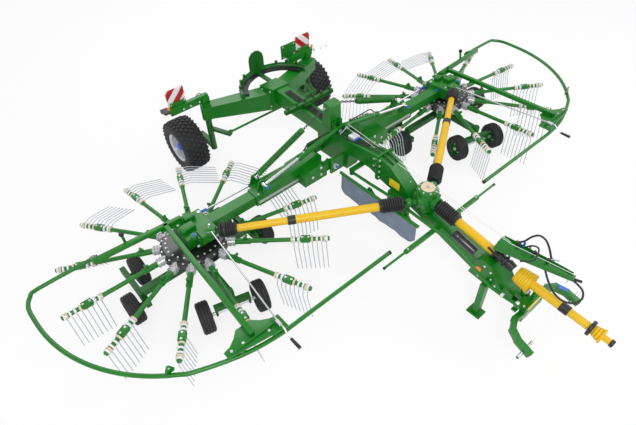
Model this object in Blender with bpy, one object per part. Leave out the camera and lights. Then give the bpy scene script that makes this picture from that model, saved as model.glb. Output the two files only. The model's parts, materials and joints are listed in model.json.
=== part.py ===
"""Twin rotor hay rake: a towed machine with two tine rotors on lifting, telescoping booms.

Metres, +Z up. The machine drives towards -Y; "right" is the -X side and "left" the +X side.
The origin is on the ground under the middle of the machine. Places below are measured from
the boom line, the cross line through both rotor centres, and LINE_Y moves that line to its
place behind the origin.
"""
import bpy
import bmesh
from math import cos, pi, radians, sin
from mathutils import Euler, Matrix, Vector

# ---------------------------------------------------------------- driving dimensions
LINE_Y = 0.63            # boom line behind the origin
GAP = 0.0003             # between pieces that touch
SIDES = (("right", -1), ("left", 1))

BEAM_HALF = 0.09         # half width of the main beam
BEAM_TOP = 1.07          # top of the beam at the boom line
AXLE_Y = 1.10            # where the axle arms meet the beam
AXLE_REAR = 1.385        # back face of the block between the axle arms
AXLE_TOP = 1.10
BOW_Z = 1.1165           # rear rack's bow
# column names: middle of the board, and the two ends of its bar, all along X
BOARDS = {"right": (-1.24, -0.82, -1.37), "left": (0.82, 0.52, 0.95)}

ROTOR_X = 2.11           # rotor centre from the machine's middle
ROTOR_Z = 0.594          # tine arms above the ground at the rotor centre
ROTOR_TILT = radians(-4.2)  # the rotor's front edge runs higher
RING_R = 1.48            # rotor centre to the tip of a tine arm
ARMS = 13
ARM_R = 0.024            # tine arm tube
HUB_R = 0.38             # black cover disc
POST_R = 0.06            # fixed post that carries the rotor
TINE_R = 0.005
TINE_FIRST = 1.09        # innermost tine from the rotor centre
TINE_STEP = 0.0505
TINES = 8
TINE_DROP = 0.48
FIRST_ARM_DEG = {"right": 68.12, "left": 130.85}

PIVOT_X = 0.26           # boom hinge, out from the middle
PIVOT_Z = 0.79
BOOM_Z = 0.75            # level centre line of the telescoping arm
SPRING_Y = 0.1095        # relief springs and their chains
ARM_HALF_Y, ARM_HALF_Z = 0.070, 0.060
ARM_SLACK = 0.0005       # sliding clearance of the arm in its sleeve
SLEEVE_WALL = 0.014
SLEEVE_IN, SLEEVE_OUT = 0.47, 1.31
ARM_IN = 0.90            # inner end of the telescoping arm, inside the sleeve
HEAD_X = 1.90            # where the rotor head begins

WHEEL_R, WHEEL_W = 0.180, 0.140      # rotor wheels
# column names: outward of the rotor (+1) or inward (-1), across from the tandem bar, rear offset
BOGIE_WHEELS = ((1, -0.145, 0.45), (1, 0.145, 0.0), (-1, -0.145, 0.45), (-1, 0.145, 0.0))
BOGIE_BAR = 0.715                    # tandem bar, out from the rotor centre
KINGPIN_Y = -0.66                    # kingpin of a rotor's front axle
FRONT_STEER = radians(15)            # how far the front axles stand turned
ROAD_R, ROAD_W = 0.380, 0.34         # transport wheels
ROAD_X, ROAD_Y = 1.146, 1.90
RIM_R = 0.200
KING_X, KING_Y = 0.87, 1.62          # kingpins at the axle's ends

GUARD_R, GUARD_TUBE, GUARD_Z = 1.61, 0.021, 0.80
PTO_TUBE = 0.0355                    # yellow guard of a drive shaft
PTO_SLEEVE_IN, PTO_SLEEVE = 0.0363, 0.046
BOOT_R = 0.082
GEAR_Y, GEAR_Z = -1.435, 0.92        # central gearbox
JOINT_X, JOINT_Y = 0.20, -1.36       # universal joints at the gearbox
SHAFT_FAR = Vector((1.95, -0.26, 0.87))   # a cross shaft's end at the rotor head

HITCH_Y = -2.76                      # upright pin of the headstock
HITCH_TIP = Vector((0.43, -3.13, 0.36))
HITCH_PIN_R = 0.014
STEER_X, STEER_Y = -0.24, HITCH_Y - 0.045   # ball joint of the steering rod
CRANK_X, CRANK_Y = -0.215, -0.50
TIE_EYE = (0.74, 1.30, 0.70)

JACK_X = -0.172
JACK_TOP = (-2.42, 0.50)             # pivot of the parking jack, in Y and Z
JACK_FOOT_Y = -2.42
CURTAIN_HINGE = Vector((-0.1453, 0, 0.575))
CURTAIN_RAIL = Vector((-0.305, 0, 0.80))

HOSES = {
    "hose_1": [(0.1317, -2.45, 0.938), (0.139, -2.52, 1.00), (0.145, -2.57, 1.10),
               (0.150, -2.63, 1.165), (0.155, -2.70, 1.15), (0.158, -2.76, 1.07),
               (0.154, -2.80, 1.00), (0.1472, -2.84, 0.966)],
    "hose_2": [(0.080, -2.80, 0.9262), (0.070, -2.83, 0.885), (0.030, -2.90, 0.835),
               (-0.020, -3.00, 0.800), (-0.030, -3.10, 0.790), (0.010, -3.18, 0.800),
               (0.070, -3.21, 0.840), (0.105, -3.18, 0.895), (0.112, -3.12, 0.925),
               (0.112, -3.055, 0.9435)],
}
HOSE_R = 0.010

GREEN, DARK_GREEN = (0.02, 0.36, 0.03), (0.01, 0.20, 0.02)
YELLOW, BLACK, STEEL = (0.95, 0.68, 0.0), (0.02, 0.02, 0.02), (0.72, 0.72, 0.70)
SLATE, RED = (0.22, 0.27, 0.33), (0.70, 0.02, 0.02)

# ---------------------------------------------------------------- the scene's own bookkeeping
for old in list(bpy.data.objects):
    bpy.data.objects.remove(old, do_unlink=True)

parts = bpy.data.collections.new("twin_rotor_hay_rake")
bpy.context.scene.collection.children.link(parts)


def empty(name, at=(0, 0, 0), turn=(0, 0, 0), parent=None):
    """A joint axis or a place that pieces hang from."""
    node = bpy.data.objects.new(name, None)
    node.location = at
    node.rotation_euler = turn
    node.parent = parent
    parts.objects.link(node)
    return node


rake = empty("rake", (0, LINE_Y, 0))


def material(name, color, roughness=0.45, metallic=0.0):
    look = bpy.data.materials.new(name)
    look.use_nodes = True
    shader = look.node_tree.nodes["Principled BSDF"]
    shader.inputs["Base Color"].default_value = (*color, 1)
    shader.inputs["Roughness"].default_value = roughness
    shader.inputs["Metallic"].default_value = metallic
    return look


# ---------------------------------------------------------------- solids
def box(centre, size, turn=(0, 0, 0)):
    """A block about its centre."""
    bm = bmesh.new()
    bmesh.ops.create_cube(bm, size=1)
    spot = Matrix.LocRotScale(Vector(centre), Euler(turn), Vector(size))
    bmesh.ops.transform(bm, matrix=spot, verts=bm.verts)
    return bm


def axis_frame(a, b, up=(0, 0, 1)):
    """A frame at a whose Z runs to b and whose Y leans towards up."""
    a, b, up = Vector(a), Vector(b), Vector(up)
    along = (b - a).normalized()
    if abs(along.dot(up)) > 0.99:
        up = Vector((0, 1, 0))
    side = up.cross(along).normalized()
    rise = along.cross(side)
    turn = Matrix((side, rise, along)).transposed().to_4x4()
    return Matrix.Translation(a) @ turn


def rod(a, b, radius, sides=10, end_radius=None):
    """A round bar or cone from a to b."""
    bm = bmesh.new()
    length = (Vector(b) - Vector(a)).length
    bmesh.ops.create_cone(bm, cap_ends=True, segments=sides, radius1=radius,
                          radius2=radius if end_radius is None else end_radius, depth=length)
    bmesh.ops.translate(bm, verts=bm.verts, vec=(0, 0, length / 2))
    bmesh.ops.transform(bm, matrix=axis_frame(a, b), verts=bm.verts)
    return bm


def bar(a, b, size, end_size=None, up=(0, 0, 1)):
    """A box section (width, height) from a to b, tapered when end_size is given."""
    bm = bmesh.new()
    bmesh.ops.create_cube(bm, size=1)
    end_size = end_size or size
    length = (Vector(b) - Vector(a)).length
    for vert in bm.verts:
        width, height = size if vert.co.z < 0 else end_size
        vert.co = Vector((vert.co.x * width, vert.co.y * height, (vert.co.z + 0.5) * length))
    bmesh.ops.transform(bm, matrix=axis_frame(a, b, up), verts=bm.verts)
    return bm


def plate(outline, low, high, across="X"):
    """A flat outline pushed from low to high along X (outline in Y, Z) or along Z (in X, Y)."""
    bm = bmesh.new()
    if across == "X":
        corners = [bm.verts.new((low, y, z)) for y, z in outline]
        push = (high - low, 0, 0)
    elif across == "Y":
        corners = [bm.verts.new((x, low, z)) for x, z in outline]
        push = (0, high - low, 0)
    else:
        corners = [bm.verts.new((x, y, low)) for x, y in outline]
        push = (0, 0, high - low)
    face = bm.faces.new(corners)
    grown = bmesh.ops.extrude_face_region(bm, geom=[face])
    moved = [item for item in grown["geom"] if isinstance(item, bmesh.types.BMVert)]
    bmesh.ops.translate(bm, verts=moved, vec=push)
    bmesh.ops.recalc_face_normals(bm, faces=bm.faces)
    return bm


def turned(profile, sides, place=None):
    """A solid of revolution about Z from (radius, height) pairs, closed to a ring or a lump."""
    bm = bmesh.new()
    ring = [bm.verts.new((radius, 0, height)) for radius, height in profile]
    edges = [bm.edges.new((ring[i], ring[(i + 1) % len(ring)])) for i in range(len(ring))]
    bmesh.ops.spin(bm, geom=ring + edges, axis=(0, 0, 1), cent=(0, 0, 0), angle=2 * pi,
                   steps=sides, use_merge=True, use_duplicate=False)
    bmesh.ops.remove_doubles(bm, verts=bm.verts, dist=0.00001)
    bmesh.ops.recalc_face_normals(bm, faces=bm.faces)
    if place is not None:
        bmesh.ops.transform(bm, matrix=place, verts=bm.verts)
    return bm


def along_x(at):
    """Turns a solid made about Z onto an axis along X through at."""
    return Matrix.Translation(Vector(at)) @ Matrix.Rotation(pi / 2, 4, "Y")


def loose_object(name, bm):
    mesh = bpy.data.meshes.new(name)
    bm.to_mesh(mesh)
    bm.free()
    node = bpy.data.objects.new(name, mesh)
    parts.objects.link(node)
    return node


def fuse(name, solids, look, parent=None, cuts=()):
    """One closed piece out of overlapping solids, with the cuts taken away."""
    piece = loose_object(name, solids[0])
    tools = [(loose_object("add", bm), "UNION") for bm in solids[1:]]
    tools += [(loose_object("cut", bm), "DIFFERENCE") for bm in cuts]
    if tools:
        for tool, operation in tools:
            step = piece.modifiers.new(operation.lower(), "BOOLEAN")
            step.operation = operation
            step.solver = "EXACT"
            step.object = tool
        graph = bpy.context.evaluated_depsgraph_get()
        graph.update()
        mesh = bpy.data.meshes.new_from_object(piece.evaluated_get(graph))
        piece.modifiers.clear()
        piece.data = mesh
        for tool, operation in tools:
            bpy.data.objects.remove(tool, do_unlink=True)
    mesh = piece.data
    mesh.name = name
    mesh.materials.clear()
    mesh.materials.append(look)
    mesh.set_sharp_from_angle(angle=radians(35))
    piece.parent = parent or rake
    return piece


def tube(name, points, radius, look, parent=None, resolution=2):
    """A bent pipe through points, with closed ends."""
    path = bpy.data.curves.new(name, "CURVE")
    path.dimensions = "3D"
    path.bevel_depth = radius
    path.bevel_resolution = resolution
    path.use_fill_caps = True
    line = path.splines.new("POLY")
    line.points.add(len(points) - 1)
    for point, place in zip(line.points, points):
        point.co = (*place, 1)
    path.materials.append(look)
    piece = bpy.data.objects.new(name, path)
    parts.objects.link(piece)
    piece.parent = parent or rake
    return piece


def pipe_mesh(points, radius, resolution=1):
    """A bent pipe as a solid for fuse."""
    piece = tube("pipe", points, radius, look=paint, resolution=resolution)
    graph = bpy.context.evaluated_depsgraph_get()
    graph.update()
    mesh = bpy.data.meshes.new_from_object(piece.evaluated_get(graph))
    bpy.data.objects.remove(piece, do_unlink=True)
    bm = bmesh.new()
    bm.from_mesh(mesh)
    bmesh.ops.remove_doubles(bm, verts=bm.verts, dist=0.00001)
    bmesh.ops.recalc_face_normals(bm, faces=bm.faces)
    return bm


def arc(centre, radius, first, last, steps, z):
    """Points of a level arc, angles in degrees."""
    points = []
    for i in range(steps + 1):
        angle = radians(first + (last - first) * i / steps)
        points.append((centre[0] + radius * cos(angle), centre[1] + radius * sin(angle), z))
    return points


def smooth_route(points, steps):
    """Evenly spread points of a smooth curve through a cord's own points."""
    route = [Vector(p) for p in points]
    ends = [route[0] * 2 - route[1]] + route + [route[-1] * 2 - route[-2]]
    fine = []
    for i in range(1, len(ends) - 2):
        a, b, c, d = ends[i - 1:i + 3]
        for k in range(steps):
            t = k / steps
            fine.append(0.5 * (2 * b + (c - a) * t + (2 * a - 5 * b + 4 * c - d) * t ** 2
                               + (3 * b - a - 3 * c + d) * t ** 3))
    fine.append(route[-1])
    return fine


paint = material("green_paint", GREEN, 0.30)
dark_paint = material("dark_green_paint", DARK_GREEN, 0.35)
yellow = material("yellow_guard", YELLOW, 0.40)
black = material("black_rubber", BLACK, 0.60)
rubber = material("tyre_rubber", BLACK, 0.75)
silver = material("silver_rim", STEEL, 0.35, 0.8)
chrome = material("chrome_rod", STEEL, 0.12, 1.0)
cloth = material("curtain_cloth", SLATE, 0.85)
board_red = material("warning_board", RED, 0.40)


# ---------------------------------------------------------------- main frame
def main_frame():
    """Arched centre frame with the boom pivots and spring tower, and the beam to the axle."""
    half = BEAM_HALF
    outline = [(AXLE_Y - 0.02, 0.94), (AXLE_Y - 0.02, 1.16), (0.10, BEAM_TOP + 0.02),
               (-0.20, BEAM_TOP), (-0.55, 1.115), (-0.80, 1.14), (-0.80, 0.865),
               (-0.66, 0.905), (-0.35, 0.905), (-0.30, 0.86), (-0.29, 0.75), (-0.28, 0.66),
               (0.24, 0.66), (0.26, 0.925)]
    solids = [plate(outline, -half, half),
              box((0, -0.79, 1.0), (0.24, 0.024, 0.32)),
              plate([(0.01, 1.06), (0.02, 1.38), (0.05, 1.41), (0.14, 1.41), (0.17, 1.06)],
                    -0.085, 0.085)]
    for name, side in SIDES:
        for y in (-0.235, 0.195):
            solids.append(box((side * 0.19, y, PIVOT_Z), (0.26, 0.028, 0.20)))
        solids.append(box((side * 0.05, -0.11, BEAM_TOP + 0.05), (0.05, 0.014, 0.14)))
        solids.append(box((side * 0.05, -0.01, BEAM_TOP + 0.05), (0.05, 0.014, 0.14)))
        solids.append(rod((side * PIVOT_X, -0.27, PIVOT_Z), (side * PIVOT_X, -0.10, PIVOT_Z), 0.022, 16))
        solids.append(rod((side * PIVOT_X, 0.10, PIVOT_Z), (side * PIVOT_X, 0.23, PIVOT_Z), 0.022, 16))
        solids.append(rod((side * 0.05, -0.105, 1.12), (side * 0.05, -0.005, 1.12), 0.012, 8))
        solids.append(rod((side * 0.06, SPRING_Y, 1.34), (side * 0.1177, SPRING_Y, 1.34), 0.010, 8))
    solids.append(rod((0, -0.50, 0.88), (0, -0.50, 0.95), 0.025))
    return fuse("main_frame", solids, paint)


def drawbar():
    """Beam from the arch's flange down to the headstock."""
    half = BEAM_HALF
    outline = [(-0.8023, 1.14), (-0.8023, 0.85), (-1.25, 0.755), (-1.60, 0.66), (-2.20, 0.475),
               (-2.69, 0.385), (-2.69, 0.50), (-2.30, 0.625), (-1.62, 0.775), (-1.30, 0.80),
               (-1.25, 0.90), (-0.97, 1.10)]
    solids = [plate(outline, -half, half),
              box((0, -0.814, 0.99), (0.24, 0.022, 0.30)),
              plate([(-2.18, 0.45), (-2.24, 0.69), (-2.28, 0.725), (-2.40, 0.725), (-2.58, 0.49),
                     (-2.50, 0.42)], -0.125, 0.125),
              bar((-0.60, -1.70, 0.715), (0.60, -1.70, 0.715), (0.042, 0.042)),
              box((0, HITCH_Y + 0.045, 0.385), (0.13, 0.15, 0.05)),
              box((0, HITCH_Y + 0.045, 0.505), (0.13, 0.15, 0.05))]
    for side in (-1, 1):
        solids.append(rod((side * 0.59, -1.70, 0.715), (side * 0.92, -1.70, 0.715), 0.014, 8))
    solids.append(box((-0.108, -1.15, 0.68), (0.05, 0.30, 0.26)))
    solids.append(rod((-0.10, *JACK_TOP), (JACK_X - 0.048, *JACK_TOP), 0.012, 10))
    solids.append(rod((JACK_X - 0.0395, *JACK_TOP), (JACK_X - 0.048, *JACK_TOP), 0.020, 10))
    cuts = [rod((0, HITCH_Y, 0.30), (0, HITCH_Y, 0.60), 0.0231, 12)]
    return fuse("drawbar", solids, paint, cuts=cuts)


def axle_beam():
    """Two tapered box arms swept back from the beam, with a kingpin boss at each end."""
    solids = [plate([(AXLE_Y - 0.0197, 0.86), (AXLE_Y - 0.0197, 1.18), (AXLE_REAR, 1.12),
                     (AXLE_REAR, 0.85)], -0.14, 0.14)]
    for name, side in SIDES:
        inner = Vector((side * 0.02, AXLE_Y + 0.13, AXLE_TOP - 0.14))
        outer = Vector((side * 0.93, KING_Y - 0.03, AXLE_TOP - 0.13))
        solids.append(bar(inner, outer, (0.22, 0.26), (0.16, 0.17)))
        solids.append(rod((side * KING_X, KING_Y, 0.82), (side * KING_X, KING_Y, 1.08), 0.07, 12))
    return fuse("axle_beam", solids, paint)


def tine_arm_racks():
    """Holders for the tine arms that come off for road travel."""
    rail = [bar((-0.34, 0.57, 1.165), (0.44, 0.57, 1.165), (0.05, 0.05)),
            bar((0.0, 0.57, 1.17), (0.0, 0.57, beam_top(0.62) + GAP), (0.10, 0.10))]
    for i in range(6):
        rail.append(box((-0.29 + i * 0.136, 0.57, 1.20), (0.022, 0.03, 0.07)))
    fuse("front_arm_rack", rail, dark_paint)

    centre, radius = (0.08, 1.18), 0.55
    path = arc(centre, radius, 165, 15, 10, BOW_Z)
    bow = [pipe_mesh(path, 0.026),
           plate([(-0.06, 1.06), (-0.06, 1.30)]
                 + [(0.06 + 0.12 * cos(a), 1.30 + 0.12 * sin(a))
                    for a in (pi * 5 / 6, pi * 2 / 3, pi / 2, pi / 3, pi / 6)]
                 + [(0.18, 1.30), (0.18, 1.06)], 1.70, 1.715, "Y"),
           bar((0.06, 1.71, 1.09), (0.06, AXLE_REAR + GAP, 1.09), (0.05, 0.04))]
    for i in (1, 2, 3, 7, 8, 9):
        x, y, z = path[i]
        bow.append(box((x, y, z + 0.04), (0.03, 0.03, 0.06)))
    fuse("rear_arm_rack", bow, dark_paint)


def beam_top(y):
    """Top of the beam between the boom line and the axle."""
    return BEAM_TOP + 0.02 + 0.07 * (y - 0.10) / (AXLE_Y - 0.02 - 0.10)


def warning_boards():
    """Striped boards on brackets over the road wheels."""
    for name, side in SIDES:
        board_x, start, end = BOARDS[name]
        solids = [bar((side * KING_X, KING_Y - 0.02, 1.08 + GAP),
                      (side * KING_X, KING_Y - 0.02, 1.17), (0.10, 0.10)),
                  bar((start, KING_Y - 0.02, 1.15), (end, KING_Y - 0.02, 1.15), (0.06, 0.10)),
                  box((board_x, KING_Y, 1.30), (0.25, 0.012, 0.26)),
                  box((board_x, KING_Y - 0.01, 1.19), (0.20, 0.03, 0.12))]
        if side > 0:
            solids.append(box((0.545, KING_Y - 0.02, 1.295), (0.26, 0.014, 0.20)))
        fuse("warning_board_" + name, solids, board_red)


def central_gearbox():
    """Splits the drive to both rotors; stands on the beam."""
    solids = [rod((0, GEAR_Y, 0.803), (0, GEAR_Y, 1.03), 0.125, 14),
              box((0, GEAR_Y, 0.90), (0.20, 0.22, 0.14)),
              rod((0, GEAR_Y - 0.10, GEAR_Z), (0, GEAR_Y - 0.165, GEAR_Z), 0.075, 12)]
    for name, side in SIDES:
        centre = Vector((side * JOINT_X, JOINT_Y, GEAR_Z))
        away = shaft_way(side)
        solids.append(rod(centre - away * 0.16, centre - away * 0.085, 0.07, 12))
        solids.append(rod(centre - away * 0.10, centre - away * 0.03, 0.028, 8))
        ball = bmesh.new()
        bmesh.ops.create_uvsphere(ball, u_segments=10, v_segments=6, radius=0.05,
                                  matrix=axis_frame(centre, centre + away))
        solids.append(ball)
    return fuse("central_gearbox", solids, paint)


def shaft_way(side):
    """Direction of a cross shaft, from the gearbox to its rotor."""
    near = Vector((side * JOINT_X, JOINT_Y, GEAR_Z))
    far = Vector((side * SHAFT_FAR.x, SHAFT_FAR.y, SHAFT_FAR.z))
    return (far - near).normalized()


def cross_shaft(name, side, parent_inner, parent_outer):
    """Telescoping drive shaft under yellow guards, with a bellows at each end."""
    near = Vector((side * JOINT_X, JOINT_Y, GEAR_Z))
    far = Vector((side * SHAFT_FAR.x, SHAFT_FAR.y, SHAFT_FAR.z))
    way = shaft_way(side)
    inner = [rod(near + way * 0.10, near + way * 0.34, BOOT_R, 12),
             rod(near + way * (0.05 + GAP), near + way * 0.12, 0.03, 8),
             rod(near + way * 0.32, near + way * 1.26, PTO_SLEEVE, 12)]
    bore = rod(near + way * 0.37, near + way * 1.30, PTO_SLEEVE_IN, 12)
    place(fuse("shaft_inner_" + name, inner, yellow, parent_inner, cuts=[bore]))
    outer = [rod(far - way * 0.045, far - way * 0.23, BOOT_R, 12),
             rod(far - way * 0.21, far - way * 1.19, PTO_TUBE, 12)]
    place(fuse("shaft_outer_" + name, outer, yellow, parent_outer))


def place(piece):
    """Keeps a piece where it was modelled while its parent empty carries the joint's place."""
    back = piece.parent
    shift = Matrix.Identity(4)
    while back is not None and back is not rake:
        shift = Matrix.LocRotScale(back.location, back.rotation_euler, None) @ shift
        back = back.parent
    piece.matrix_local = shift.inverted()
    return piece


def front_drive():
    """Fixed shaft from the gearbox forward to the headstock, with its bellows."""
    start, end = (0, GEAR_Y - 0.178, GEAR_Z - 0.002), (0, -1.86, 0.875)
    solids = [rod(start, end, BOOT_R, 12),
              rod((0, -1.80, 0.884), (0, -2.52, 0.765), 0.042, 12),
              bar((0, -2.34, 0.79), (0, -2.34, 0.725 + GAP), (0.06, 0.05))]
    return fuse("front_drive_shaft", solids, yellow)


def document_tube():
    """Round box with a lid, on the beam's top."""
    solids = [rod((-0.072, -1.90, 0.7650), (-0.072, -2.18, 0.7030), 0.050, 12)]
    return fuse("document_tube", solids, black)


def hose_holder():
    """Tapered tray that carries the hoses to the tractor."""
    solids = [bar((0.02, -2.33, 0.915), (0.11, -3.07, 0.97), (0.19, 0.035), (0.06, 0.03)),
              bar((0.095, -2.345, 0.92), (0.095, -2.345, 0.725 + GAP), (0.035, 0.05)),
              bar((0.113, -2.38, 0.932), (0.136, -2.98, 0.977), (0.012, 0.05))]
    return fuse("hose_holder", solids, paint)


def jack_stand():
    """Parking jack: a square leg on a foot plate, folded up to the rear for the road."""
    y, z = JACK_TOP
    solids = [bar((JACK_X, y, z), (JACK_X, JACK_FOOT_Y, 0.015), (0.076, 0.066), up=(0, 1, 0)),
              rod((JACK_X - 0.0392, y, z), (JACK_X + 0.0392, y, z), 0.034, 12),
              box((JACK_X, JACK_FOOT_Y, 0.0125), (0.13, 0.16, 0.025))]
    hole = rod((JACK_X - 0.06, y, z), (JACK_X + 0.06, y, z), 0.0129, 10)
    return fuse("jack_stand", solids, paint, jack_axis, cuts=[hole])


# ---------------------------------------------------------------- hitch and steering
def headstock():
    """Arched crossbar for the tractor's lower links, on its upright pin."""
    tip = HITCH_TIP
    bow = [Vector((0.14, HITCH_Y - 0.10, 0.45)), Vector((0.28, HITCH_Y - 0.09, 0.45)),
           Vector((0.375, HITCH_Y - 0.14, 0.43)), Vector((0.42, HITCH_Y - 0.24, 0.40)), tip]
    solids = [box((0, HITCH_Y - 0.095, 0.455), (0.36, 0.06, 0.22)),
              box((0, HITCH_Y - 0.035, 0.445), (0.12, 0.11, 0.0694)),
              rod((0, HITCH_Y, 0.355), (0, HITCH_Y, 0.54), 0.022, 12),
              rod((0, HITCH_Y, 0.5303), (0, HITCH_Y, 0.56), 0.04, 12),
              box((0.0, HITCH_Y - 0.085, 0.595), (0.08, 0.03, 0.07)),
              box((-0.17, HITCH_Y - 0.045, 0.56), (0.22, 0.05, 0.02)),
              box((-0.17, HITCH_Y - 0.09, 0.535), (0.05, 0.05, 0.06)),
              rod((STEER_X, HITCH_Y - 0.045, 0.55), (STEER_X, HITCH_Y - 0.045, 0.5903), 0.014, 8)]
    for side in (-1, 1):
        for a, b in zip(bow, bow[1:]):
            ends = [Vector((side * p.x, p.y, p.z)) for p in (a, b)]
            along = (ends[1] - ends[0]).normalized() * 0.02
            solids.append(bar(ends[0] - along, ends[1] + along, (0.055, 0.075)))
        y = tip.y + 0.045
        solids.append(rod((side * (tip.x - 0.13), y, tip.z), (side * (tip.x + 0.12), y, tip.z),
                          HITCH_PIN_R, 10))
    return fuse("headstock", solids, paint, headstock_axis)


def input_shaft():
    """Shaft to the tractor: a cone guard and two telescoping yellow tubes."""
    rear_end, front_end = Vector((0, -2.62, 0.715)), Vector((0, -3.62, 0.645))
    way = (front_end - rear_end).normalized()
    rear = [rod(rear_end, rear_end + way * 0.17, 0.085, 12, 0.105),
            rod(rear_end + way * 0.15, rear_end + way * 0.56, PTO_SLEEVE, 12),
            box((0, HITCH_Y - 0.085, 0.65), (0.05, 0.03, 0.0394))]
    bore = rod(rear_end + way * 0.22, rear_end + way * 0.60, PTO_SLEEVE_IN, 12)
    place(fuse("input_shaft_rear", rear, yellow, headstock_axis, cuts=[bore]))
    front = [rod(rear_end + way * 0.46, front_end - way * 0.12, PTO_TUBE, 12),
             rod(front_end - way * 0.22, front_end - way * 0.10, 0.05, 12, 0.075),
             rod(front_end - way * 0.12, front_end, 0.035, 10)]
    place(fuse("input_shaft_front", front, yellow, input_slide))


def steering():
    """Rod from the headstock to a crank under the arch, and the tie rod of the road wheels."""
    path = [(STEER_X, STEER_Y, 0.612), (STEER_X, -2.62, 0.60), (STEER_X, -2.50, 0.605),
            (-0.225, -2.24, 0.69), (-0.21, -1.93, 0.79), (-0.215, -1.13, 0.845),
            (-0.215, -0.80, 0.825), (CRANK_X, CRANK_Y, 0.815)]
    solids = [pipe_mesh(path, 0.019),
              rod((STEER_X, STEER_Y, 0.5906), (STEER_X, STEER_Y, 0.64), 0.030, 10),
              rod((CRANK_X, CRANK_Y, 0.79), (CRANK_X, CRANK_Y, 0.8347), 0.030, 10)]
    place(fuse("steering_rod", solids, paint, rod_slide))
    crank = [bar((0.02, CRANK_Y, 0.85), (CRANK_X - 0.02, CRANK_Y, 0.85), (0.06, 0.03)),
             rod((0, CRANK_Y, 0.835), (0, CRANK_Y, 0.8797), 0.035, 10)]
    place(fuse("steering_crank", crank, paint, crank_axis))
    eye_x, eye_y, eye_z = TIE_EYE
    tie = [rod((-eye_x, eye_y, eye_z), (eye_x, eye_y, eye_z), 0.015, 10)]
    for side in (-1, 1):
        tie.append(rod((side * eye_x, eye_y, eye_z - 0.02),
                       (side * eye_x, eye_y, eye_z + 0.02), 0.026, 10))
    place(fuse("tie_rod", tie, paint, tie_slide))


def knuckle(name, side):
    """Upright pin, steering arm and stub axle of one road wheel."""
    x, y = side * KING_X, KING_Y
    eye_x, eye_y, eye_z = TIE_EYE
    solids = [rod((x, y, ROAD_R - 0.065), (x, y, 0.8197), 0.042, 12),
              bar((x, y, ROAD_R), (x, ROAD_Y + 0.05, ROAD_R), (0.07, 0.10)),
              rod((x - side * 0.02, ROAD_Y, ROAD_R), (side * (ROAD_X + 0.10), ROAD_Y, ROAD_R), 0.032, 12),
              bar((x, y, eye_z - 0.04), (side * eye_x, eye_y, eye_z - 0.04), (0.06, 0.0394))]
    return place(fuse("knuckle_" + name, solids, dark_paint, knuckle_axis[name]))


def road_wheel(name, side):
    """Wide flotation tyre, and its rim with a closed disc."""
    half = ROAD_W / 2
    centre = (side * ROAD_X, ROAD_Y, ROAD_R)
    tyre = turned([(RIM_R, -half + 0.03), (RIM_R + 0.02, -half), (ROAD_R - 0.06, -half),
                   (ROAD_R, -half + 0.05), (ROAD_R, half - 0.05), (ROAD_R - 0.06, half),
                   (RIM_R + 0.02, half), (RIM_R, half - 0.03)], 24, along_x(centre))
    place(fuse("tyre_" + name, [tyre], rubber, wheel_axis[name]))
    out = side
    rim = turned([(0.0325, 0.02 * out), (0.0325, 0.11 * out), (0.06, 0.11 * out), (0.075, 0.05 * out),
                  (RIM_R - 0.03, 0.05 * out), (RIM_R - 0.03, 0.15 * out), (RIM_R - GAP, 0.15 * out),
                  (RIM_R - GAP, -0.15 * out), (RIM_R - 0.012, -0.15 * out), (RIM_R - 0.03, 0.03 * out),
                  (0.075, 0.02 * out)], 24, along_x(centre))
    place(fuse("rim_" + name, [rim], silver, wheel_axis[name]))


# ---------------------------------------------------------------- booms
def boom(name, side):
    """Sleeve that the telescoping arm slides in, hinged on the main frame."""
    y_out = ARM_HALF_Y + SLEEVE_WALL
    low, high = BOOM_Z - ARM_HALF_Z - SLEEVE_WALL, BOOM_Z + ARM_HALF_Z + SLEEVE_WALL
    profile = [(side * 0.36, low), (side * SLEEVE_OUT, low), (side * SLEEVE_OUT, high),
               (side * 1.16, high), (side * 0.50, high + 0.10), (side * 0.40, high + 0.12),
               (side * 0.33, high + 0.06), (side * 0.33, low + 0.03)]
    solids = [plate(profile, -y_out, y_out, "Y"),
              plate([(side * 0.36, low - 0.002), (side * 0.36, high + 0.02),
                     (side * 0.70, high - 0.01), (side * 0.70, low - 0.002)], -0.215, 0.175, "Y")]
    for y0, y1 in ((-0.2147, -0.155), (0.115, 0.1747)):
        solids.append(plate([(side * 0.40, PIVOT_Z - 0.06), (side * (PIVOT_X - 0.02), PIVOT_Z - 0.05),
                             (side * (PIVOT_X - 0.05), PIVOT_Z), (side * (PIVOT_X - 0.02), PIVOT_Z + 0.05),
                             (side * 0.40, PIVOT_Z + 0.07)], y0, y1, "Y"))
    lug = [(side * 1.10, high - 0.01), (side * 1.13, high + 0.12), (side * 1.20, high + 0.12),
           (side * 1.25, high - 0.01)]
    solids.append(plate(lug, -0.022, -0.008, "Y"))
    solids.append(plate(lug, 0.12, 0.136, "Y"))
    solids.append(box((side * 1.175, 0.10, high - 0.02), (0.14, 0.07, 0.05)))
    bore = box((side * (SLEEVE_IN + SLEEVE_OUT + 0.04) / 2, 0, BOOM_Z),
               (SLEEVE_OUT + 0.04 - SLEEVE_IN, 2 * (ARM_HALF_Y + ARM_SLACK), 2 * (ARM_HALF_Z + ARM_SLACK)))
    pins = rod((side * PIVOT_X, -0.30, PIVOT_Z), (side * PIVOT_X, 0.30, PIVOT_Z), 0.0227, 16)
    place(fuse("boom_" + name, solids, paint, boom_axis[name], cuts=[bore, pins]))


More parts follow.
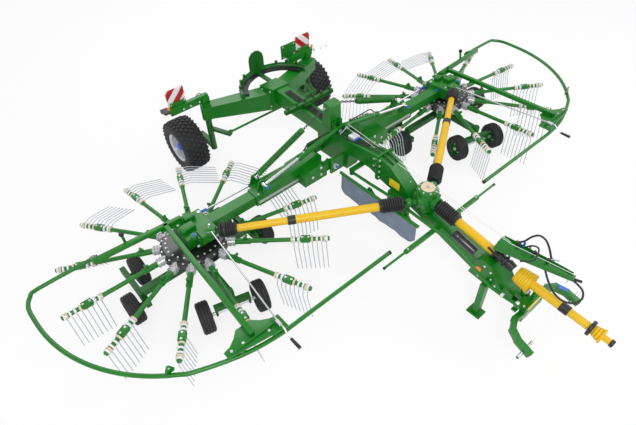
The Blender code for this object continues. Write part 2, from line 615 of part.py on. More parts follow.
def boom_arm(name, side):
    """Telescoping arm with the rotor head: drive input, and the fixed post through the rotor."""
    far = Vector((side * SHAFT_FAR.x, SHAFT_FAR.y, SHAFT_FAR.z))
    top = rotor_place(side) @ Vector((0, 0, 0.20))
    low = rotor_place(side) @ Vector((0, 0, -0.12))
    solids = [box((side * (ARM_IN + HEAD_X + 0.05) / 2, 0, BOOM_Z),
                  (HEAD_X + 0.05 - ARM_IN, 2 * ARM_HALF_Y, 2 * ARM_HALF_Z)),
              box((side * (HEAD_X + 0.17), 0.0, 0.785), (0.34, 0.34, 0.15)),
              box((side * (HEAD_X + 0.12), -0.16, 0.80), (0.24, 0.14, 0.13)),
              box((side * (HEAD_X + 0.14), -0.20, 0.83), (0.14, 0.12, 0.12)),
              rod(top, low, POST_R, 16),
              rod(far + shaft_way(side) * 0.10, far, 0.055, 12)]
    return place(fuse("boom_arm_" + name, solids, paint, arm_slide[name]))


def rotor_place(side):
    return Matrix.Translation((side * ROTOR_X, 0, ROTOR_Z)) @ Matrix.Rotation(ROTOR_TILT, 4, "X")


def guard(name, side):
    """Bow that runs round the rotor's outside, on two square tubes from the head."""
    x = side * ROTOR_X

    def turn(degrees):
        return degrees if side > 0 else 180 - degrees

    path = [(x + side * 0.90, 0.335, GUARD_Z), (x + side * 1.50, 0.335, GUARD_Z),
            (x + side * 1.60, 0.29, GUARD_Z), (x + side * 1.66, 0.16, GUARD_Z)]
    path += arc((x, 0), GUARD_R + 0.05, turn(-2), turn(-60), 6, GUARD_Z)
    path += [(x + side * 0.45, -1.575, GUARD_Z), (x + side * 0.10, -1.635, GUARD_Z),
             (x - side * 0.30, -1.64, GUARD_Z), (side * 0.78, -1.64, GUARD_Z)]
    level = 0.90
    arm_1 = [(x + side * 0.02, 0.13, level), (x + side * 0.97, 0.19, level)]
    arm_2 = [(x + side * 0.20, 0.15, level), (x + side * 0.28, -1.53, level)]
    solids = [pipe_mesh(path, GUARD_TUBE),
              bar(arm_1[0], arm_1[1], (0.05, 0.05)),
              bar(arm_2[0], arm_2[1], (0.05, 0.05)),
              plate([(x - side * 0.02, -1.50), (x + side * 0.20, -1.38), (x + side * 0.36, -1.38),
                     (x + side * 0.56, -1.50), (x + side * 0.56, -1.57), (x - side * 0.02, -1.66)],
                    0.86, 0.874, "Z"),
              box((x + side * 0.10, -1.62, 0.83), (0.06, 0.03, 0.08)),
              box((x + side * 0.42, -1.57, 0.83), (0.06, 0.03, 0.08)),
              box((x + side * 0.28, -1.46, 0.875), (0.06, 0.08, 0.04)),
              bar((x + side * 0.95, 0.18, level), (x + side * 0.95, 0.345, GUARD_Z), (0.06, 0.05)),
              box((x + side * 0.10, 0.145, 0.87), (0.34, 0.10, 0.0197))]
    return place(fuse("guard_" + name, solids, paint, arm_slide[name]))


def lift_cylinder(name, side):
    """Cylinder that swings the boom up: a barrel on the frame and a rod to the sleeve's lug."""
    foot, eye = cylinder_ends(side)
    way = (eye - foot).normalized()
    barrel = [rod(foot + way * 0.014, foot + way * 0.60, 0.032, 12),
              rod(foot + Vector((0, -0.043, 0)), foot + Vector((0, 0.043, 0)), 0.026, 10)]
    cuts = [rod(foot + way * 0.05, foot + way * 0.64, 0.0183, 10),
            rod(foot + Vector((0, -0.07, 0)), foot + Vector((0, 0.07, 0)), 0.0133, 8)]
    place(fuse("lift_cylinder_" + name, barrel, paint, cylinder_axis[name], cuts=cuts))
    shaft = [rod(foot + way * 0.545, eye - way * 0.01, 0.0175, 10),
             rod(eye + Vector((0, -0.022, 0)), eye + Vector((0, 0.022, 0)), 0.026, 10)]
    place(fuse("lift_rod_" + name, shaft, chrome, cylinder_rod[name]))


def cylinder_ends(side):
    return Vector((side * 0.05, -0.06, 1.12)), Vector((side * 1.165, -0.06, 0.905))


def relief_spring(name, side):
    """Coil spring and chain from the tower to the sleeve, drawn as its outer shape."""
    top, foot = Vector((side * 0.1220, SPRING_Y, 1.34)), Vector((side * 1.155, SPRING_Y, 0.918))
    way = (foot - top).normalized()
    solids = [rod(top, top + way * 0.36, 0.010, 6),
              rod(top + way * 0.34, top + way * 1.00, 0.040, 12),
              rod(top + way * 0.98, top + way * 1.085, 0.010, 6)]
    return place(fuse("relief_spring_" + name, solids, paint, boom_axis[name]))


# ---------------------------------------------------------------- rotors
def tine_swing(angle):
    """How far a tine is swung up by the cam, 0 hanging to 1 level, for an arm at angle degrees."""
    angle = (angle + 20) % 360
    if angle < 60:
        return angle / 60
    if angle < 160:
        return 1.0
    if angle < 185:
        return (185 - angle) / 25
    return 0.0


def bent_tine(start, bend, tip):
    """Three-sided wire through three points."""
    bm = bmesh.new()
    frame = axis_frame(start, bend)
    bmesh.ops.create_circle(bm, cap_ends=True, segments=3, radius=TINE_R * 1.2, matrix=frame)
    face = bm.faces[:][0]
    for step, shift in enumerate((Vector(bend) - Vector(start), Vector(tip) - Vector(bend))):
        grown = bmesh.ops.extrude_face_region(bm, geom=[face])
        if step:
            bmesh.ops.delete(bm, geom=[face], context="FACES_ONLY")
        moved = [item for item in grown["geom"] if isinstance(item, bmesh.types.BMVert)]
        bmesh.ops.translate(bm, verts=moved, vec=shift)
        face = [item for item in grown["geom"] if isinstance(item, bmesh.types.BMFace)][0]
    bmesh.ops.recalc_face_normals(bm, faces=bm.faces)
    return bm


def join_into(whole, extra, matrix):
    """Adds a turned copy of one bmesh to another."""
    mesh = bpy.data.meshes.new("copy")
    extra.to_mesh(mesh)
    mesh.transform(matrix)
    whole.from_mesh(mesh)
    bpy.data.meshes.remove(mesh)


def solid_mesh(solids):
    """The mesh of fused solids, as a bmesh."""
    piece = fuse("whole", solids, paint)
    bm = bmesh.new()
    bm.from_mesh(piece.data)
    bpy.data.objects.remove(piece, do_unlink=True)
    return bm


def tine_arm(swing, trail):
    """One arm along +X with its tines; trail is the side that raised tines point to."""
    lean = radians(78) * swing
    down = Vector((0, trail * sin(lean), -cos(lean)))
    back = Vector((0, trail * cos(lean), sin(lean)))
    solids = [rod((0.30, 0, 0), (RING_R, 0, 0), ARM_R, 6)]
    tines = bmesh.new()
    for i in range(TINES):
        root = Vector((TINE_FIRST + i * TINE_STEP, 0, 0))
        wire = bent_tine(root, root + down * 0.11 + back * 0.035,
                         root + down * TINE_DROP - back * 0.01)
        join_into(tines, wire, Matrix.Identity(4))
    solids.append(tines)
    return solid_mesh(solids)


def tine_rotor(name, side):
    """Hub ring with its arms and tines; it turns about the tilted post."""
    arms = bmesh.new()
    for i in range(ARMS):
        world = FIRST_ARM_DEG[name] - i * 360 / ARMS
        seen = world if side < 0 else 180 - world
        made = tine_arm(tine_swing(seen), side)
        join_into(arms, made, Matrix.Rotation(radians(world), 4, "Z"))
    hub = turned([(POST_R + 0.0008, -0.06), (0.33, -0.045), (HUB_R, -0.03), (HUB_R, 0.035),
                  (0.34, 0.05), (0.33, 0.075), (POST_R + 0.0008, 0.075)], 26)
    piece = fuse("tine_rotor_" + name, [hub, arms], paint, rotor_axis[name])
    return piece


def chassis(name, side):
    """Legs under the rotor to a tandem wheel pair on each side and to the front axle."""
    x = side * ROTOR_X
    top = rotor_place(side) @ Vector((0, 0, -0.12 - GAP))
    low = rotor_place(side) @ Vector((0, 0, -0.30))
    solids = [rod(low, top, 0.13, 12),
              bar((x - 0.72, 0.02, 0.32), (x + 0.72, 0.02, 0.32), (0.08, 0.08)),
              bar((x, 0, 0.36), (x - 0.03, KINGPIN_Y - 0.03, 0.36), (0.08, 0.08)),
              rod((x - 0.03, KINGPIN_Y, 0.292), (x - 0.03, KINGPIN_Y, 0.42), 0.045, 12)]
    for outward in (-1, 1):
        beam_x = x + outward * BOGIE_BAR
        solids.append(bar((beam_x, -0.10, WHEEL_R + 0.04), (beam_x, 0.55, WHEEL_R + 0.04),
                          (0.06, 0.08)))
        solids.append(bar((beam_x, 0.02, 0.33), (beam_x, 0.02, WHEEL_R + 0.02), (0.07, 0.07)))
        solids.append(rod((beam_x, 0.45, WHEEL_R), (beam_x - outward * 0.22, 0.45, WHEEL_R), 0.018, 10))
        solids.append(rod((beam_x, 0.0, WHEEL_R), (beam_x + outward * 0.22, 0.0, WHEEL_R), 0.018, 10))
    return place(fuse("chassis_" + name, solids, dark_paint, arm_slide[name]))


def front_axle_place(side):
    """Kingpin of the front axle, turned as it stands."""
    at = Vector((side * ROTOR_X - 0.03, KINGPIN_Y, 0))
    return Matrix.Translation(at) @ Matrix.Rotation(-FRONT_STEER, 4, "Z")


def front_axle(name, side):
    """Steered axle under the rotor's front, and the pair of wheels on its through shaft."""
    beam = [bar((-0.20, -0.04, 0.262), (0.20, -0.04, 0.262), (0.06, 0.059)),
            rod((0, 0, 0.25), (0, 0, 0.2917), 0.05, 12),
            box((0, -0.02, 0.262), (0.10, 0.08, 0.058))]
    for out in (-1, 1):
        beam.append(box((out * 0.185, -0.04, WHEEL_R + 0.025), (0.025, 0.06, 0.10)))
    hole = rod((-0.3, -0.04, WHEEL_R), (0.3, -0.04, WHEEL_R), 0.01896, 10)
    fuse("front_axle_" + name, beam, dark_paint, front_axis[name], cuts=[hole])
    wheels = [rod((-0.30, 0, 0), (0.30, 0, 0), 0.018, 10)]
    for out in (-1, 1):
        wheels.append(small_wheel((out * 0.31, 0, 0), None))
    fuse("front_wheels_" + name, wheels, rubber, front_wheel_axis[name])


def small_wheel(centre, bore):
    """Ribbed pneumatic wheel about X, with a bore when it runs on a stub axle."""
    half, r = WHEEL_W / 2, WHEEL_R
    inner = bore or 0.0
    profile = [(inner, -0.05), (0.10, -half), (r - 0.03, -half), (r, -half + 0.03),
               (r, half - 0.03), (r - 0.03, half), (0.10, half), (inner, 0.05)]
    return turned(profile, 16, along_x(centre))


def bogie_wheel(name, side, index):
    """One wheel of a tandem pair on its stub axle."""
    fuse(bogie_name(name, index), [small_wheel((0, 0, 0), 0.0186)], rubber, bogie_axis[name, index])


def bogie_name(name, index):
    return "bogie_wheel_%s_%d" % (name, index + 1)


# ---------------------------------------------------------------- curtain and hoses
def curtain():
    """Swath curtain on a rail, carried by two arms that fold out from the drawbar."""
    hinge, rail = CURTAIN_HINGE, CURTAIN_RAIL
    arms = [rod((hinge.x, -0.82, hinge.z), (hinge.x, -1.44, hinge.z), 0.012, 8)]
    for y in (-0.85, -1.40):
        arms.append(bar((hinge.x, y, hinge.z), (rail.x + 0.042, y, rail.z), (0.03, 0.03), up=(0, 1, 0)))
    for y in (-0.85, -1.40):
        arms.append(box((rail.x + 0.0343, y, rail.z), (0.030, 0.05, 0.05)))
    place(fuse("curtain_arms", arms, paint, curtain_axis))
    cloth_z = (0.49, rail.z - 0.012)
    panel = [rod((rail.x, -0.40, rail.z), (rail.x, -1.60, rail.z), 0.019, 12),
             box((rail.x, -1.0, sum(cloth_z) / 2), (0.008, 1.16, cloth_z[1] - cloth_z[0]))]
    place(fuse("swath_curtain", panel, cloth, curtain_hang))


# ---------------------------------------------------------------- joint axes
jack_axis = empty("jack_axis", (JACK_X, *JACK_TOP), parent=rake)
headstock_axis = empty("headstock_axis", (0, HITCH_Y, 0), parent=rake)
input_slide = empty("input_slide", parent=headstock_axis)
rod_slide = empty("rod_slide", parent=rake)
crank_axis = empty("crank_axis", (0, CRANK_Y, 0), parent=rake)
tie_slide = empty("tie_slide", parent=rake)
curtain_axis = empty("curtain_axis", CURTAIN_HINGE, parent=rake)
curtain_hang = empty("curtain_hang", CURTAIN_RAIL - CURTAIN_HINGE, parent=curtain_axis)

knuckle_axis, wheel_axis, boom_axis, arm_slide, cylinder_axis, cylinder_rod = {}, {}, {}, {}, {}, {}
shaft_axis, shaft_slide, rotor_axis, front_axis, front_wheel_axis, bogie_axis = {}, {}, {}, {}, {}, {}
for name, side in SIDES:
    knuckle_axis[name] = empty("knuckle_axis_" + name, (side * KING_X, KING_Y, 0), parent=rake)
    wheel_axis[name] = empty("wheel_axis_" + name, (side * (ROAD_X - KING_X), ROAD_Y - KING_Y, ROAD_R),
                             parent=knuckle_axis[name])
    boom_axis[name] = empty("boom_axis_" + name, (side * PIVOT_X, 0, PIVOT_Z), parent=rake)
    arm_slide[name] = empty("arm_slide_" + name, parent=boom_axis[name])
    cylinder_axis[name] = empty("cylinder_axis_" + name, cylinder_ends(side)[0], parent=rake)
    cylinder_rod[name] = empty("cylinder_rod_" + name, parent=cylinder_axis[name])
    shaft_axis[name] = empty("shaft_axis_" + name, (side * JOINT_X, JOINT_Y, GEAR_Z), parent=rake)
    shaft_slide[name] = empty("shaft_slide_" + name, parent=shaft_axis[name])
    rotor_axis[name] = empty("rotor_axis_" + name,
                             (side * (ROTOR_X - PIVOT_X), 0, ROTOR_Z - PIVOT_Z),
                             (ROTOR_TILT, 0, 0), arm_slide[name])
    front_axis[name] = empty("front_axis_" + name,
                             (side * (ROTOR_X - PIVOT_X) - 0.03, KINGPIN_Y, -PIVOT_Z),
                             (0, 0, -FRONT_STEER), arm_slide[name])
    front_wheel_axis[name] = empty("front_wheel_axis_" + name, (0, -0.04, WHEEL_R), parent=front_axis[name])
    for index, (out, across, behind) in enumerate(BOGIE_WHEELS):
        outward = side * out
        at = (side * (ROTOR_X - PIVOT_X) + outward * (BOGIE_BAR + across), behind, WHEEL_R - PIVOT_Z)
        bogie_axis[name, index] = empty("bogie_axis_%s_%d" % (name, index + 1), at, parent=arm_slide[name])

# ---------------------------------------------------------------- build
main_frame()
drawbar()
axle_beam()
tine_arm_racks()
warning_boards()
central_gearbox()
front_drive()
document_tube()
hose_holder()
place(jack_stand())
place(headstock())
input_shaft()
steering()
curtain()
for name, points in HOSES.items():
    tube(name, smooth_route(points, 3), HOSE_R, black)
for name, side in SIDES:
    knuckle(name, side)
    road_wheel(name, side)
    boom(name, side)
    boom_arm(name, side)
    guard(name, side)
    lift_cylinder(name, side)
    relief_spring(name, side)
    cross_shaft(name, side, shaft_axis[name], shaft_slide[name])
    tine_rotor(name, side)
    chassis(name, side)
    front_axle(name, side)
    for index in range(len(BOGIE_WHEELS)):
        bogie_wheel(name, side, index)
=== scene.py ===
"""Twin rotor hay rake: its finishes, tines, bellows, treads, hoses, labels, stage and camera.

Laid out as a Blender add-on and run as a script. Places are in metres from the boom line, the
cross line through both rotor centres; -Y is forward, -X is the machine's right.
"""
import json
from math import cos, pi, radians, sin

import bmesh
import bpy
from bpy.props import FloatProperty, FloatVectorProperty, IntProperty, PointerProperty
from mathutils import Matrix, Vector
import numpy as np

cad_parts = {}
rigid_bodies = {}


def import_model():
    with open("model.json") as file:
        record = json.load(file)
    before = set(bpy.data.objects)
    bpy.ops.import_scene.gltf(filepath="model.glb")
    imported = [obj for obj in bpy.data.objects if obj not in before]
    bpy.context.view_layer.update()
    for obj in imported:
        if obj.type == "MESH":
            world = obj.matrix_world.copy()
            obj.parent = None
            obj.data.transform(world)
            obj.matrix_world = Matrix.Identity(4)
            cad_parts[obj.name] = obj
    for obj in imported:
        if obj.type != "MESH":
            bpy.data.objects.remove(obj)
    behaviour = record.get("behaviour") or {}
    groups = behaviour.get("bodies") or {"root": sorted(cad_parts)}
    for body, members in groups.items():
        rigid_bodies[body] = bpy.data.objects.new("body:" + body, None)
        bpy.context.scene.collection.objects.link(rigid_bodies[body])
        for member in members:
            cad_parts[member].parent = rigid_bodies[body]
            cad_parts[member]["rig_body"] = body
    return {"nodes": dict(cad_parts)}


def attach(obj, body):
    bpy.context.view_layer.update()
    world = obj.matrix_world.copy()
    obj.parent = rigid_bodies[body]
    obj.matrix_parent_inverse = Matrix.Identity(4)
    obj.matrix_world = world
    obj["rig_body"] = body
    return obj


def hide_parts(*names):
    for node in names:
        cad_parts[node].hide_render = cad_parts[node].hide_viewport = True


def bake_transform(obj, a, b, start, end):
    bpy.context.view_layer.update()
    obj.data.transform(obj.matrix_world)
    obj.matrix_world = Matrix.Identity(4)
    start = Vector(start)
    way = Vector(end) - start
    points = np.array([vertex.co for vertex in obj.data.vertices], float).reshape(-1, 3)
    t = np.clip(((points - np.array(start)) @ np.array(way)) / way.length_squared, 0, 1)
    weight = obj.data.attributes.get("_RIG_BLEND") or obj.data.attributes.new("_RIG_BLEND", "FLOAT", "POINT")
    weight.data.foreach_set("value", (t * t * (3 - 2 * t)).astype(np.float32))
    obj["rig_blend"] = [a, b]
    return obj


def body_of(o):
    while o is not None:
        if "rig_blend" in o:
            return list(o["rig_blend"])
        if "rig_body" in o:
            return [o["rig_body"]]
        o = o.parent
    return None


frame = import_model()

bl_info = {
    "name": "Twin rotor hay rake",
    "version": (1, 0, 0),
    "blender": (4, 5, 0),
    "location": "View3D > Sidebar > Hay rake",
    "description": "Builds the visible pieces of a towed hay rake",
    "category": "Object",
}

LINE_Y = 0.63                  # boom line behind the origin
SIDES = (("right", -1), ("left", 1))

ROTOR_X, ROTOR_Z, ROTOR_TILT = 2.11, 0.594, radians(-4.2)
RING_R, ARMS = 1.48, 13
TINE_FIRST, TINE_STEP, TINES = 1.09, 0.0505, 8
TINE_DROP = 0.48
FIRST_ARM_DEG = {"right": 68.12, "left": 130.85}
PIVOT_X, PIVOT_Z = 0.26, 0.79
GEAR = Vector((0, -1.435, 0.92))
SHAFT_NEAR, SHAFT_FAR = Vector((0.20, -1.36, 0.92)), Vector((1.95, -0.26, 0.87))
WHEEL_R, WHEEL_W = 0.180, 0.140
ROAD_X, ROAD_Y, ROAD_R, ROAD_W = 1.146, 1.90, 0.380, 0.34
BOGIE_BAR = 0.715              # tandem bar, out from the rotor centre
BOGIE_WHEELS = (               # side of the rotor, across from the bar, behind the centre
    (1, -0.145, 0.45),
    (1, 0.145, 0.0),
    (-1, -0.145, 0.45),
    (-1, 0.145, 0.0),
)
BOARDS = {                     # middle of a board, then its bar's start and end, along X
    "right": (-1.24, -0.82, -1.37),
    "left": (0.82, 0.52, 0.95),
}
BOARD_Y, BOARD_BAR_Z = 1.60, 1.15
KINGPIN = Vector((-0.03, -0.66, 0))
FRONT_STEER = radians(-15)
SHARP = radians(38)            # edges sharper than this stay hard
STRIPES_PER_METRE = 4.9


# ---------------------------------------------------------------- sizes and colours
def length(name, description, default):
    return FloatProperty(name=name, description=description, default=default, unit="LENGTH")


def colour(name, description, default):
    return FloatVectorProperty(name=name, description=description, default=default,
                               subtype="COLOR", size=3, min=0, max=1)


class RakeSizes(bpy.types.PropertyGroup):
    """Sizes of the fine pieces."""
    tine_wire: length("Tine wire", "Radius of a spring tine's wire", 0.0053)
    collar: length("Tine collar", "Radius of the pale collars that hold the tines", 0.037)
    edge: length("Edge rounding", "Rounding of plates and box sections", 0.003)
    bolt: length("Bolt head", "Radius of a bolt's head", 0.011)
    guard_tube: length("Guard tube", "Radius of the guard bows", 0.021)
    rope: length("Rope", "Radius of the pull ropes", 0.003)
    spring_wire: length("Spring wire", "Radius of the relief springs' wire", 0.0065)
    boot: length("Bellows", "Outer radius of the black bellows", 0.082)
    tread: length("Tread depth", "Height of the road tyres' blocks", 0.014)
    spring_turns: IntProperty(name="Spring turns", description="Turns of a relief spring",
                              default=34)


class RakeColours(bpy.types.PropertyGroup):
    """Colours of the finishes."""
    green: colour("Green paint", "Bright paint of the frame", (0.0, 0.165, 0.004))
    # Painted shade: the frame green made darker for the parts that sit underneath and in shade.
    painted_shade_green: colour("Green, painted shade", "Frame green darkened as painted shade for the parts underneath", (0.0, 0.105, 0.004))
    yellow: colour("Yellow guard", "Drive shaft guards", (0.76, 0.46, 0.0))
    black: colour("Black rubber", "Bellows, hoses and grips", (0.012, 0.012, 0.014))
    tyre: colour("Tyre", "Tyre rubber", (0.016, 0.016, 0.018))
    silver: colour("Silver", "Rims and cast sockets", (0.55, 0.56, 0.58))
    steel: colour("Tine steel", "Spring tines", (0.56, 0.60, 0.66))
    chrome: colour("Bright steel", "Rods and pins", (0.72, 0.73, 0.75))
    cream: colour("Cream collar", "Outer tine collars", (0.72, 0.58, 0.40))
    white: colour("White collar", "Tine collars and stripes", (0.80, 0.80, 0.82))
    red: colour("Red stripe", "Stripes of the warning boards", (0.45, 0.004, 0.006))
    slate: colour("Curtain cloth", "Swath curtain", (0.19, 0.24, 0.32))
    label: colour("Yellow label", "Blank warning labels", (0.90, 0.68, 0.01))
    blue: colour("Blue cap", "Blue caps and labels", (0.02, 0.12, 0.65))
    amber: colour("Amber", "Side reflectors", (0.95, 0.22, 0.005))
    floor: colour("Floor", "Pale studio floor", (0.92, 0.92, 0.92))


def sizes():
    return bpy.context.scene.rake_sizes


def colours():
    return bpy.context.scene.rake_colours


# ---------------------------------------------------------------- finishes
def math_node(tree, operation, *values):
    """A Math node whose inputs are sockets or plain numbers; gives its output socket."""
    node = tree.nodes.new("ShaderNodeMath")
    node.operation = operation
    for socket, value in zip(node.inputs, values):
        if isinstance(value, bpy.types.NodeSocket):
            tree.links.new(value, socket)
        else:
            socket.default_value = value
    return node.outputs["Value"]


def finish(name, tint, roughness, metallic=0.0, coat=0.0, grain=0.0, scale=6.0, bump=0.0,
           bump_scale=60.0):
    """A Principled finish with a little unevenness in Object coordinates."""
    material = bpy.data.materials.new(name)
    material.use_nodes = True
    nodes, links = material.node_tree.nodes, material.node_tree.links
    shader = nodes["Principled BSDF"]
    shader.inputs["Base Color"].default_value = (*tint, 1)
    shader.inputs["Roughness"].default_value = roughness
    shader.inputs["Metallic"].default_value = metallic
    shader.inputs["Coat Weight"].default_value = coat
    shader.inputs["Coat Roughness"].default_value = 0.08
    place = nodes.new("ShaderNodeTexCoord")
    if grain:
        noise = nodes.new("ShaderNodeTexNoise")
        noise.inputs["Scale"].default_value = scale
        noise.inputs["Detail"].default_value = 4
        ramp = nodes.new("ShaderNodeValToRGB")
        ramp.color_ramp.elements[0].position = 0.3
        ramp.color_ramp.elements[1].position = 0.7
        ramp.color_ramp.elements[0].color = (*[c * (1 - grain) for c in tint], 1)
        ramp.color_ramp.elements[1].color = (*[min(c * (1 + grain), 1) for c in tint], 1)
        links.new(place.outputs["Object"], noise.inputs["Vector"])
        links.new(noise.outputs["Fac"], ramp.inputs["Fac"])
        links.new(ramp.outputs["Color"], shader.inputs["Base Color"])
    if bump:
        fine = nodes.new("ShaderNodeTexNoise")
        fine.inputs["Scale"].default_value = bump_scale
        dents = nodes.new("ShaderNodeBump")
        dents.inputs["Strength"].default_value = bump
        dents.inputs["Distance"].default_value = 0.002
        links.new(place.outputs["Object"], fine.inputs["Vector"])
        links.new(fine.outputs["Fac"], dents.inputs["Height"])
        links.new(dents.outputs["Normal"], shader.inputs["Normal"])
    return material


def woven_finish(name, tint):
    """Coarse cloth with a fine weave and soft shading across its folds."""
    material = finish(name, tint, 0.85, grain=0.10, scale=9.0)
    nodes, links = material.node_tree.nodes, material.node_tree.links
    place = nodes.new("ShaderNodeTexCoord")
    bumps = nodes.new("ShaderNodeBump")
    bumps.inputs["Strength"].default_value = 0.25
    bumps.inputs["Distance"].default_value = 0.001
    weave = nodes.new("ShaderNodeTexWave")
    weave.bands_direction = "Z"
    weave.inputs["Scale"].default_value = 60
    links.new(place.outputs["Object"], weave.inputs["Vector"])
    links.new(weave.outputs["Fac"], bumps.inputs["Height"])
    links.new(bumps.outputs["Normal"], nodes["Principled BSDF"].inputs["Normal"])
    return material


def striped_finish(name, first, second):
    """Slanting stripes across a board that stands in the XZ plane."""
    material = finish(name, first, 0.35, coat=0.2)
    nodes, links = material.node_tree.nodes, material.node_tree.links
    place = nodes.new("ShaderNodeTexCoord")
    split = nodes.new("ShaderNodeSeparateXYZ")
    links.new(place.outputs["Object"], split.inputs["Vector"])
    across = math_node(material.node_tree, "ABSOLUTE", split.outputs["X"])
    slant = math_node(material.node_tree, "ADD", across, split.outputs["Z"])
    count = math_node(material.node_tree, "MULTIPLY", slant, STRIPES_PER_METRE)
    turn = math_node(material.node_tree, "FRACT", count)
    half = math_node(material.node_tree, "GREATER_THAN", turn, 0.5)
    mix = nodes.new("ShaderNodeMix")
    mix.data_type = "RGBA"
    mix.inputs["A"].default_value = (*first, 1)
    mix.inputs["B"].default_value = (*second, 1)
    links.new(half, mix.inputs["Factor"])
    links.new(mix.outputs["Result"], nodes["Principled BSDF"].inputs["Base Color"])
    return material


LOOKS = {}


def look(name):
    """A finish by name, made when it is first used."""
    if name not in LOOKS:
        tints = colours()
        makers = {
            "green_paint": lambda: finish(name, tints.green, 0.34, coat=0.12, grain=0.10),
            # Painted shade: the frame green darkened for the shaded parts underneath.
            "painted_shade_green_paint": lambda: finish(name, tints.painted_shade_green, 0.40, coat=0.08, grain=0.12),
            "yellow_plastic": lambda: finish(name, tints.yellow, 0.42, grain=0.05),
            "black_rubber": lambda: finish(name, tints.black, 0.45, grain=0.2),
            "black_cover": lambda: finish(name, tints.black, 0.28, coat=0.5),
            "tyre_rubber": lambda: finish(name, tints.tyre, 0.68, grain=0.25, scale=18, bump=0.3),
            "silver_cast": lambda: finish(name, tints.silver, 0.38, 0.65, bump=0.2),
            "silver_rim": lambda: finish(name, tints.silver, 0.30, 0.5, grain=0.05),
            "tine_steel": lambda: finish(name, tints.steel, 0.30, 0.55),
            "bright_steel": lambda: finish(name, tints.chrome, 0.16, 0.9),
            "dark_steel": lambda: finish(name, [0.12 * c for c in tints.chrome], 0.4, 0.4),
            "bolt_zinc": lambda: finish(name, tints.chrome, 0.35, 0.6),
            "cream_collar": lambda: finish(name, tints.cream, 0.5),
            "white_collar": lambda: finish(name, tints.white, 0.5),
            "label_yellow": lambda: finish(name, tints.label, 0.45),
            "label_white": lambda: finish(name, tints.white, 0.45),
            "label_grey": lambda: finish(name, [0.45 * c + 0.12 for c in tints.white], 0.5),
            "blue_cap": lambda: finish(name, tints.blue, 0.35),
            "amber_reflector": lambda: finish(name, tints.amber, 0.25, coat=0.5),
            "curtain_cloth": lambda: woven_finish(name, tints.slate),
            "board_stripes": lambda: striped_finish(name, tints.red, tints.white),
            "white_rope": lambda: finish(name, tints.white, 0.8),
        }
        LOOKS[name] = makers[name]()
    return LOOKS[name]


# ---------------------------------------------------------------- shapes
def axis_frame(start, end, up=(0, 0, 1)):
    """A frame at start whose Z runs to end and whose Y leans towards up."""
    start, up = Vector(start), Vector(up)
    along = (Vector(end) - start).normalized()
    if abs(along.dot(up)) > 0.99:
        up = Vector((0, 1, 0))
    side = up.cross(along).normalized()
    turn = Matrix((side, along.cross(side), along)).transposed().to_4x4()
    return Matrix.Translation(start) @ turn


def rod(start, end, radius, end_radius=None, sides=16):
    """A round bar or cone from start to end."""
    shape = bmesh.new()
    span = (Vector(end) - Vector(start)).length
    bmesh.ops.create_cone(shape, cap_ends=True, segments=sides, radius1=radius,
                          radius2=radius if end_radius is None else end_radius, depth=span)
    bmesh.ops.translate(shape, verts=shape.verts, vec=(0, 0, span / 2))
    bmesh.ops.transform(shape, matrix=axis_frame(start, end), verts=shape.verts)
    return shape


def block(centre, size, place=None, edge=0.0):
    """A box about its centre, its edges rounded when edge is given."""
    shape = bmesh.new()
    bmesh.ops.create_cube(shape, size=1)
    bmesh.ops.scale(shape, verts=shape.verts, vec=size)
    if edge:
        bmesh.ops.bevel(shape, geom=shape.edges[:], offset=edge, affect="EDGES", segments=2,
                        profile=0.5, material=-1)
    bmesh.ops.translate(shape, verts=shape.verts, vec=centre)
    if place is not None:
        bmesh.ops.transform(shape, matrix=place, verts=shape.verts)
    return shape


def bar(start, end, size, edge=0.003, up=(0, 0, 1)):
    """A box section from start to end."""
    span = (Vector(end) - Vector(start)).length
    return block((0, 0, span / 2), (size[0], size[1], span), axis_frame(start, end, up), edge)


def slab(outline, low, high, place=None, edge=0.002):
    """A flat outline in XY pushed up from low to high."""
    shape = bmesh.new()
    face = shape.faces.new([shape.verts.new((x, y, low)) for x, y in outline])
    grown = bmesh.ops.extrude_face_region(shape, geom=[face])
    moved = [item for item in grown["geom"] if isinstance(item, bmesh.types.BMVert)]
    bmesh.ops.translate(shape, verts=moved, vec=(0, 0, high - low))
    bmesh.ops.recalc_face_normals(shape, faces=shape.faces)
    if edge:
        bmesh.ops.bevel(shape, geom=shape.edges[:], offset=edge, affect="EDGES", segments=2,
                        profile=0.5, material=-1)
    if place is not None:
        bmesh.ops.transform(shape, matrix=place, verts=shape.verts)
    return shape


def turned(profile, place=None, sides=32):
    """A closed profile of (radius, height) spun about Z."""
    shape = bmesh.new()
    ring = [shape.verts.new((radius, 0, height)) for radius, height in profile]
    edges = [shape.edges.new((ring[i], ring[(i + 1) % len(ring)])) for i in range(len(ring))]
    bmesh.ops.spin(shape, geom=ring + edges, axis=(0, 0, 1), cent=(0, 0, 0), angle=2 * pi,
                   steps=sides, use_merge=True, use_duplicate=False)
    bmesh.ops.remove_doubles(shape, verts=shape.verts, dist=0.00001)
    bmesh.ops.dissolve_degenerate(shape, dist=0.00001, edges=shape.edges)
    bmesh.ops.recalc_face_normals(shape, faces=shape.faces)
    if place is not None:
        bmesh.ops.transform(shape, matrix=place, verts=shape.verts)
    return shape


